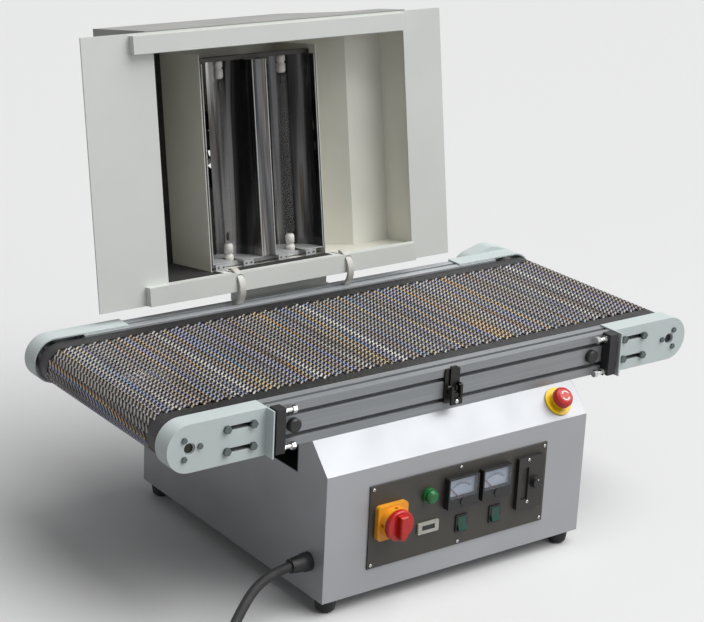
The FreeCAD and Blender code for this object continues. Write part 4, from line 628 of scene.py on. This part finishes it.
def hoodSpot(a, t, q):
    y, z = hoodSet["pivot"]
    return Vector((hoodSet["left"] + a, y, z)) + hoodWay(t - hoodSet["hinge"][0], q - hoodSet["hinge"][1])


def hoodHeight(place):
    return (place - hoodSpot(0, 0, 0)).dot(hoodWay(1, 0))


def paintFaces(node, finishName, wanted):
    # a second coat on the faces of a node that pass a test
    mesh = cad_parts[node].data
    mesh.materials.append(finishes[finishName])
    for poly in mesh.polygons:
        if wanted(poly):
            poly.material_index = len(mesh.materials) - 1


# the cover is grey on the faces that look away from a point close behind the plate,
# and the upper lamp holders are dark steel
hoodCoats = {"behindPlate": (0.436, 0.27, 0.04), "darkAbove": 0.25}
behindPlate = hoodSpot(*hoodCoats["behindPlate"])
paintFaces("hood_cover", "coverGrey", lambda poly: poly.normal.dot(poly.center - behindPlate) > 0)
paintFaces("lamp_mounts", "darkSteel", lambda poly: hoodHeight(poly.center) > hoodCoats["darkAbove"])
print("hood coated")

# lamps: quartz tinted grey as painted shade for the tubes' dark look, between white ceramic ends, with an
# electrode coil inside both ends
lamps = {"places": (0.340, 0.487), "depth": 0.085, "low": 0.042, "high": 0.438,
         "radius": 0.011, "neck": 0.0063, "shoulder": ((0.9, 0.004), (1, 0.009)), "glassSides": 28,
         "end": 0.035, "endRadius": 0.009, "endSides": 24,
         "endProfile": ((0.82, 0), (1, 0.002), (1, 0.012), (0.78, 0.013), (0.78, 0.016), (1, 0.017),
                        (1, 0.031)), "endTip": 0.75,
         "coil": ((0.0015, 0), (0.0028, 0.002), (0.0028, 0.014), (0.0012, 0.017)),
         "coilGap": 0.006, "coilSides": 12}


def fitLamps(lamps):
    glass, white, wire = Lump(), Lump(), Lump()
    run, end, up = lamps["high"] - lamps["low"], lamps["end"], hoodWay(1, 0)
    shoulder = [(lamps["radius"] * share, rise) for share, rise in lamps["shoulder"]]
    tube = [(lamps["neck"], end)] + [(r, end + rise) for r, rise in shoulder]
    tube += [(r, run - end - rise) for r, rise in reversed(shoulder)] + [(lamps["neck"], run - end)]
    cap = [(lamps["endRadius"] * share, rise) for share, rise in lamps["endProfile"]]
    cap.append((lamps["endRadius"] * lamps["endTip"], end))
    for a in lamps["places"]:
        foot = hoodSpot(a, lamps["low"], lamps["depth"])
        glass.turned(foot, up, tube, lamps["glassSides"])
        for start, way in ((0, 1), (run, -1)):
            white.turned(foot + up * start, up * way, cap, lamps["endSides"])
            inner = foot + up * (start + way * (end + lamps["coilGap"]))
            wire.turned(inner, up * way, lamps["coil"], lamps["coilSides"])
    tubes = glass.done("lampTubes", "hood", finishes["quartz"], "quartz", True)
    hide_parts("uv_lamps")
    white.done("lampEnds", "hood", finishes["ceramicWhite"], "grey_plastic", True)
    wire.done("lampElectrodes", "hood", finishes["darkSteel"], "plain_steel")


fitLamps(lamps)

# mirror edges: bright cut edges along the reflectors' fronts and round their lower ends, and the end plates
mirrorEdge = {"half": 0.058, "front": 0.0515, "slit": 0.008, "apex": 0.146, "bow": 0.016, "steps": 10,
              "low": 0.045, "high": 0.437, "bead": 0.0011, "beadSides": 8,
              "rim": 0.0022, "rimDrop": 0.0004, "plate": 0.001, "plateLift": 0.0005,
              "lampSlot": 0.013, "lampDepth": 0.085, "slotSteps": 8}


def trimMirrors(trim, places):
    edges, plates, up = Lump(), Lump(), hoodWay(1, 0)
    start, end = Vector((trim["half"], trim["front"])), Vector((trim["slit"], trim["apex"]))
    chord = end - start
    aside = Vector((chord.y, -chord.x)).normalized() * trim["bow"]
    shares = [k / trim["steps"] for k in range(trim["steps"] + 1)]
    curve = [start + chord * k + aside * 4 * k * (1 - k) for k in shares]
    bead = [(trim["bead"], 0), (trim["bead"], trim["high"] - trim["low"])]
    # the end plate that closes the lower end, slotted for its lamp
    r, steps = trim["lampSlot"], trim["slotSteps"]
    angles = [math.pi * (1 - k / steps) for k in range(steps + 1)]
    outline = [(-r, trim["front"])]
    outline += [(r * math.cos(w), trim["lampDepth"] + r * math.sin(w)) for w in angles]
    outline += [(r, trim["front"])] + [tuple(c) for c in curve] + [(-c.x, c.y) for c in reversed(curve)]
    for place in places:
        for side in (-1, 1):
            foot = hoodSpot(place + side * trim["half"], trim["low"], trim["front"])
            edges.turned(foot, up, bead, trim["beadSides"])
            spots = [hoodSpot(place + side * c.x, trim["low"] - trim["rimDrop"], c.y) for c in curve]
            rise, inward = up * trim["rim"], Vector((-side * trim["rim"], 0, 0))
            for a, b in zip(spots, spots[1:]):
                edges.flat([a, b, b + rise, a + rise], inward)
        height = trim["low"] + trim["plateLift"]
        plates.flat([hoodSpot(place + x, height, q) for x, q in outline], up * trim["plate"])
    edges.done("mirrorEdges", "hood", finishes["zincPlate"], "bright_steel")
    plates.done("mirrorEnds", "hood", finishes["zincPlate"], "bright_steel")


trimMirrors(mirrorEdge, lamps["places"])

# dark sheets of painted shade on the back and the floor of the hood's left bay, and on the floor in front of
# the lamps
bayShade = {"a": (0.137, 0.2745), "t": (0.0325, 0.5095), "q": (0.014, 0.1955), "thick": 0.001,
          "lampFloor": ((0.2785, 0.286), (0.314, 0.5465)), "lampFloorEnd": 0.0505}


def shadeBay(bayShade):
    lump = Lump()
    (a0, a1), (t0, t1), (q0, q1), thick = bayShade["a"], bayShade["t"], bayShade["q"], bayShade["thick"]
    fold = [(t0, q0), (t0, q1), (t1, q1), (t1, q1 - thick), (t0 + thick, q1 - thick), (t0 + thick, q0)]
    lump.flat([hoodSpot(a0, t, q) for t, q in fold], Vector((a1 - a0, 0, 0)))
    end = bayShade["lampFloorEnd"]
    for b0, b1 in bayShade["lampFloor"]:  # parted where a hinge arm comes through
        sheet = [(t0, q0), (t0, end), (t0 + thick, end), (t0 + thick, q0)]
        lump.flat([hoodSpot(b0, t, q) for t, q in sheet], Vector((b1 - b0, 0, 0)))
    lump.done("bayShadeSheet", "hood", finishes["shadeSheetBlack"], "black_plastic")


shadeBay(bayShade)

# pressed rings on the hood's strip at the hinge edge, round the holes that the hinge arms pass through
armRings = {"places": (0.300, 0.558), "t": 0.0252, "face": -0.016, "inner": 0.0086, "outer": 0.0106,
            "rise": 0.0007, "innerSlope": 0.0004, "outerSlope": 0.0006, "sides": 32}


def pressRings(rings):
    lump, sides = Lump(), rings["sides"]
    inner, outer = rings["inner"], rings["outer"]
    profile = [(inner, 0), (inner + rings["innerSlope"], rings["rise"]),
               (outer - rings["outerSlope"], rings["rise"]), (outer, 0)]
    for a in rings["places"]:
        n = len(lump.verts)
        middle = hoodSpot(a, rings["t"], rings["face"])
        for k in range(sides):
            w = 2 * math.pi * k / sides
            side = Vector((math.cos(w), 0, 0)) + hoodWay(math.sin(w), 0)
            lump.verts += [middle + side * r + hoodWay(0, -h) for r, h in profile]
        for k in range(sides):
            here, after = n + 4 * k, n + 4 * ((k + 1) % sides)
            for i in range(4):
                j = (i + 1) % 4
                lump.faces.append([here + i, here + j, after + j, after + i])
    lump.done("armRings", "hood", finishes["hoodGrey"], "hood_paint", True)


pressRings(armRings)
print("hood fitted out")

# control panel: its screws and the speed knob's mark
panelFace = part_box("control_panel")[0].y
front = (0, -1, 0)
panel = {"screws": [(-0.200, 0.080), (-0.200, 0.226), (0.196, 0.080), (0.196, 0.226), (-0.004, 0.227),
                    (-0.002, 0.079)],
         "controllerScrews": [(0.152, 0.2105), (0.154, 0.1255)], "screw": 0.0032,
         "mark": ((0.0015, 0), (0.0015, 0.001), (0.001, 0.0013)), "markSides": 14,
         "markSink": 0.0009, "markUp": 0.0062}


def fitPanel(panel):
    heads, sinks, mark = Lump(), Lump(), Lump()
    for x, z in panel["screws"]:
        crossScrew(heads, sinks, (x, panelFace, z), front, panel["screw"])
    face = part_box("speed_controller")[0].y
    for x, z in panel["controllerScrews"]:
        crossScrew(heads, sinks, (x, face, z), front, panel["screw"])
    heads.done("panelScrews", "frame", finishes["brightSteel"], "bright_steel", True)
    sinks.done("panelScrewSinks", "frame", finishes["darkSteel"], "plain_steel")
    low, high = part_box("speed_knob")
    x, z = (low.x + high.x) / 2, (low.z + high.z) / 2
    spot = (x, low.y + panel["markSink"], z + panel["markUp"])
    mark.turned(spot, front, panel["mark"], panel["markSides"])
    mark.done("speedMark", "speed_knob", finishes["ceramicWhite"], "grey_plastic", True)


fitPanel(panel)

# meter dials: a pale card with a plain scale over the needle's swing
meters = {"places": (-0.0053, 0.0748), "pivotZ": 0.1672, "low": 0.1742, "high": 0.2105, "half": 0.0316,
          "depth": 0.0041, "card": 0.0002, "ink": 0.00008, "start": -45, "swing": 90,
          "marks": 10, "parts": 5, "ring": (0.0290, 0.0325, 0.0345), "thin": 0.00014, "bold": 0.00028,
          "arc": 0.0004, "arcSteps": 30}
dialCoat = {"colour": (196, 208, 224), "metallic": 0.0, "plainRough": 0.5, "cloud": 40, "stretch": even,
            "bands": ((0.3, (180, 194, 214)), (0.7, (206, 216, 229)))}


def printDials(meters):
    back = panelFace - meters["depth"]
    face, thick = back - meters["card"], (0, -meters["ink"], 0)
    cards, ink = Lump(), Lump()
    inner, short, long = meters["ring"]
    count, steps = meters["marks"] * meters["parts"], meters["arcSteps"]

    def angle(share):
        return math.radians(meters["start"] + meters["swing"] * share)

    def at(x, radius, w):
        return Vector((x + radius * math.sin(w), face, meters["pivotZ"] + radius * math.cos(w)))

    for x in meters["places"]:
        cards.box((x - meters["half"], face, meters["low"]), (x + meters["half"], back, meters["high"]))
        for k in range(count + 1):
            w, whole = angle(k / count), k % meters["parts"] == 0
            side = Vector((math.cos(w), 0, -math.sin(w))) * meters["bold" if whole else "thin"]
            a, b = at(x, inner, w), at(x, long if whole else short, w)
            ink.flat([a - side, a + side, b + side, b - side], thick)
        for k in range(steps):  # the scale's arc
            w0, w1 = angle(k / steps), angle((k + 1) / steps)
            below = inner - meters["arc"]
            ink.flat([at(x, below, w0), at(x, inner, w0), at(x, inner, w1), at(x, below, w1)], thick)
    cards.done("meterCards", "frame", bandedCoat("dialFace", dialCoat), "grey_plastic")
    ink.done("meterScales", "frame", finishes["blackPlastic"], "black_plastic")


printDials(meters)

# hour counter: six wheels behind its window
counter = {"wheels": 6, "rim": 0.0004, "wide": 0.62, "tall": 0.45, "back": (0.0012, 0.0016),
           "axle": 0.0098, "radius": 0.0088, "sides": 40, "shown": 0.0024}


def fillCounter(counter):
    low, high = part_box("hour_counter")
    x, z = (low.x + high.x) / 2, (low.z + high.z) / 2
    half, rise = (high.x - low.x) * counter["wide"] / 2, (high.z - low.z) * counter["tall"] / 2
    drums, back = Lump(), Lump()
    near, far = [low.y + depth for depth in counter["back"]]
    back.box((x - half, near, z - rise), (x + half, far, z + rise))
    step, radius = 2 * half / counter["wheels"], counter["radius"]
    for k in range(counter["wheels"]):
        start = (x - half + step * k + counter["rim"], low.y + counter["axle"], z)
        drums.turned(start, (1, 0, 0), [(radius, 0), (radius, step - 2 * counter["rim"])], counter["sides"])
    # only the strip of each wheel that the window shows is kept
    limit = low.y + counter["shown"]
    keep = [f for f in drums.faces if len(f) == 4 and all(drums.verts[i].y < limit for i in f)]
    used = sorted({i for f in keep for i in f})
    place = {i: k for k, i in enumerate(used)}
    addMesh("counterWheels", [drums.verts[i] for i in used], [[place[i] for i in f] for f in keep], "frame",
            finishes["blackPlastic"], True)
    back.done("counterWindow", "frame", finishes["charcoalPlastic"], "black_plastic")


fillCounter(counter)
print("panel fitted out")

# screws on the back panel and the drive cover
rearScrews = {"size": 0.0034, "panelInset": 0.008, "panelTurn": 7, "coverInset": 0.016, "coverTurn": 9,
              "coverMiddle": 0.517, "coverRise": 0.036}


def screwRear(screws):
    heads, sinks, way = Lump(), Lump(), (0, 1, 0)
    low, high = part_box("back_panel")
    inset = screws["panelInset"]
    for x in (low.x + inset, (low.x + high.x) / 2, high.x - inset):
        for z in (low.z + inset, high.z - inset):
            crossScrew(heads, sinks, (x, high.y, z), way, screws["size"], x * screws["panelTurn"])
    low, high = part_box("drive_cover")
    z, inset, rise = (low.z + high.z) / 2, screws["coverInset"], screws["coverRise"]
    middle = screws["coverMiddle"]
    for x, up in ((low.x + inset, 0), (middle, rise), (middle, -rise), (high.x - inset, 0)):
        crossScrew(heads, sinks, (x, high.y, z + up), way, screws["size"], x * screws["coverTurn"])
    heads.done("rearScrews", "frame", finishes["brightSteel"], "bright_steel", True)
    sinks.done("rearScrewSinks", "frame", finishes["darkSteel"], "plain_steel")


screwRear(rearScrews)

# hexagon bolts through the stop plate, seen from behind
stopBolts = {"size": 0.0062, "inset": 0.03, "face": 0.171, "height": 0.381}


def boltStopPlate(bolts):
    lump = Lump()
    low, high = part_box("hinge_stop_plate")
    for x in (low.x + bolts["inset"], (low.x + high.x) / 2, high.x - bolts["inset"]):
        hexHead(lump, (x, bolts["face"], bolts["height"]), (0, 1, 0), bolts["size"])
    lump.done("stopPlateBolts", "frame", finishes["boltSteel"], "plain_steel")


boltStopPlate(stopBolts)

# rivets along the hood cover's flanges, in hood places
coverRivets = {"size": 0.0028, "sides": (0.134, 0.738), "rows": (0.150, 0.225, 0.300, 0.375, 0.450),
               "depth": 0.014, "lowRows": (0.180, 0.270, 0.360, 0.450, 0.540), "lowEdge": 0.0300,
               "lowDepth": 0.024}


def rivetCover(rivets):
    lump = Lump()
    for t in rivets["rows"]:
        for a, out in zip(rivets["sides"], (-1, 1)):
            blindRivet(lump, hoodSpot(a, t, rivets["depth"]), (out, 0, 0), rivets["size"])
    for a in rivets["lowRows"]:
        blindRivet(lump, hoodSpot(a, rivets["lowEdge"], rivets["lowDepth"]), hoodWay(-1, 0), rivets["size"])
    lump.done("coverRivets", "hood", finishes["plainSteel"], "plain_steel", True)


rivetCover(coverRivets)

# screws at the corners of the fan guard, in hood places
guardScrews = {"size": 0.0032, "middle": (0.4125, 0.255), "reach": 0.066, "depth": 0.2015}


def screwGuard(screws):
    heads, sinks = Lump(), Lump()
    a, t = screws["middle"]
    for da in (-screws["reach"], screws["reach"]):
        for dt in (-screws["reach"], screws["reach"]):
            place = hoodSpot(a + da, t + dt, screws["depth"])
            crossScrew(heads, sinks, place, hoodWay(0, 1), screws["size"])
    heads.done("guardScrews", "hood", finishes["brightSteel"], "bright_steel", True)
    sinks.done("guardScrewSinks", "hood", finishes["darkSteel"], "plain_steel")


screwGuard(guardScrews)

# the bright rivet on the latch lever's face
latchRivet = {"size": 0.0042, "x": 0.002, "height": 0.342}


def rivetLatch(pin):
    lump = Lump()
    blindRivet(lump, (pin["x"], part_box("latch_lever")[0].y, pin["height"]), front, pin["size"])
    lump.done("latchRivet", "latch_lever", finishes["brightSteel"], "bright_steel", True)


rivetLatch(latchRivet)
print("fasteners set")

# a strap over the coil of lead
strap = {"turn": 0.30, "inner": 0.0750, "outer": 0.1215, "top": 0.0392, "foot": 0.0002, "thick": 0.0012,
         "wide": 0.014, "corner": 0.009, "cornerSteps": 6}


def strapCoil(strap, middle, first):
    w = first + 2 * math.pi * strap["turn"]
    out, along = Vector((math.cos(w), math.sin(w), 0)), Vector((-math.sin(w), math.cos(w), 0))
    floorSpot = Vector((middle.x, middle.y, 0))
    bends = [k * math.pi / 2 / strap["cornerSteps"] for k in range(strap["cornerSteps"] + 1)]

    def path(grow):
        r0, r1 = strap["inner"] - grow, strap["outer"] + grow
        top, c = strap["top"] + grow, strap["corner"] + grow
        spots = [(r0, strap["foot"])]
        spots += [(r0 + c - c * math.cos(b), top - c + c * math.sin(b)) for b in bends]
        spots += [(r1 - c + c * math.sin(b), top - c + c * math.cos(b)) for b in bends]
        return spots + [(r1, strap["foot"])]

    lump, inside, outside = Lump(), path(0), path(strap["thick"])
    count = len(inside)
    for spots in (inside, outside):
        for side in (-0.5, 0.5):
            edge = floorSpot + along * side * strap["wide"]
            lump.verts += [edge + out * r + Vector((0, 0, z)) for r, z in spots]
    for k in range(count - 1):
        a, b, c, d = [row * count + k for row in range(4)]
        lump.faces += [[a, b, b + 1, a + 1], [c, c + 1, d + 1, d]]
        lump.faces += [[a, a + 1, c + 1, c], [b, d, d + 1, b + 1]]
    for k in (0, count - 1):
        lump.faces.append([k, 2 * count + k, 3 * count + k, count + k])
    lump.done("leadStrap", "frame", finishes["tapeBlack"], "rubber")


strapCoil(strap, coilMiddle, coilFirst)
print("lead strapped")

# turn arrows on the stop button's head: two curved arms with points, in degrees round the head
stop = {"seat": (0.245, -0.3575, 0.295), "slope": (0, -0.72779, 0.68580), "top": 0.0293, "radius": 0.0085,
        "width": 0.0024, "thick": 0.00025, "arms": (20, 200), "sweep": 100, "steps": 8,
        "point": 32, "flare": 2.4}


def markStop(stop):
    lump = Lump()
    way = Vector(stop["slope"])
    middle = Vector(stop["seat"]) + way * stop["top"]
    side = Vector((1, 0, 0))
    up = way.cross(side)

    def at(radius, degrees):
        w = math.radians(degrees)
        return middle + (side * math.cos(w) + up * math.sin(w)) * radius

    r, h, rise = stop["radius"], stop["width"] / 2, way * stop["thick"]
    flare = stop["flare"] * h
    for start in stop["arms"]:
        end = start + stop["sweep"]
        marks = [start + stop["sweep"] * k / stop["steps"] for k in range(stop["steps"] + 1)]
        for a, b in zip(marks, marks[1:]):
            lump.flat([at(r - h, a), at(r + h, a), at(r + h, b), at(r - h, b)], rise)
        lump.flat([at(r - flare, end), at(r + flare, end), at(r, end + stop["point"])], rise)
    lump.done("stopArrows", "estop_button", finishes["ceramicWhite"], "grey_plastic")


markStop(stop)
print("stop button marked")

# studio: one broad soft sun from above and to the right, a weak fill, and an even sky
studio = {"floor": (0.74, 0.74, 0.74), "bounce": (0.30, 0.30, 0.31), "floorRough": 0.75,
          "floorHalf": 30, "drop": 0.0006, "sky": 0.2, "backdrop": 0.78, "skyTint": (0.97, 0.98, 1.0),
          "sun": {"from": (0.42, -0.34, 1.0), "power": 3.1, "spread": 60},
          "fill": {"place": (1.4, -4.0, 2.2), "target": (0, 0, 0.4), "size": 2.6, "power": 26}}


def aim(lamp, place, target):
    lamp.location = place
    lamp.rotation_euler = (Vector(target) - Vector(place)).to_track_quat("-Z", "Y").to_euler()
    bpy.context.collection.objects.link(lamp)


def seenDirectly(tree):
    # 1 for the eye, and for what metal and glass show; 0 for the light that is thrown back
    path = tree.nodes.new("ShaderNodeLightPath")
    either, seen = [tree.nodes.new("ShaderNodeMath") for _ in range(2)]
    either.operation = seen.operation = "MAXIMUM"
    tree.links.new(path.outputs["Is Camera Ray"], either.inputs[0])
    tree.links.new(path.outputs["Is Glossy Ray"], either.inputs[1])
    tree.links.new(either.outputs["Value"], seen.inputs[0])
    tree.links.new(path.outputs["Is Transmission Ray"], seen.inputs[1])
    return seen.outputs["Value"]


def layFloor(studio):
    finish = startFinish("studioFloor", studio["floor"], 0.0, studio["floorRough"])
    thrown, seen = blendColour(finish, seenDirectly(finish.node_tree))
    thrown.default_value, seen.default_value = (*studio["bounce"], 1), (*studio["floor"], 1)
    half = studio["floorHalf"]
    mesh = bpy.data.meshes.new("studioFloor")
    corners = [(-half, -half, 0), (half, -half, 0), (half, half, 0), (-half, half, 0)]
    mesh.from_pydata(corners, [], [(0, 1, 2, 3)])
    mesh.materials.append(finish)
    floor = bpy.data.objects.new("studioFloor", mesh)
    floor.location.z = -studio["drop"]
    bpy.context.collection.objects.link(floor)


def lightStudio(studio):
    sun = bpy.data.lights.new("softSun", "SUN")
    sun.energy, sun.angle = studio["sun"]["power"], math.radians(studio["sun"]["spread"])
    aim(bpy.data.objects.new("softSun", sun), studio["sun"]["from"], (0, 0, 0))
    fill = bpy.data.lights.new("frontFill", "AREA")
    fill.shape, fill.size, fill.energy = "DISK", studio["fill"]["size"], studio["fill"]["power"]
    aim(bpy.data.objects.new("frontFill", fill), studio["fill"]["place"], studio["fill"]["target"])
    sky = bpy.data.worlds.new("studioSky")
    sky.use_nodes = True
    tree = sky.node_tree
    glow = tree.nodes["Background"]
    glow.inputs["Color"].default_value = (*studio["skyTint"], 1)
    level = tree.nodes.new("ShaderNodeMapRange")
    level.inputs["To Min"].default_value = studio["sky"]
    level.inputs["To Max"].default_value = studio["backdrop"]
    tree.links.new(seenDirectly(tree), level.inputs["Value"])
    tree.links.new(level.outputs["Result"], glow.inputs["Strength"])
    bpy.context.scene.world = sky
    bpy.context.scene.view_settings.view_transform = "Standard"


layFloor(studio)
lightStudio(studio)
print("studio lit")
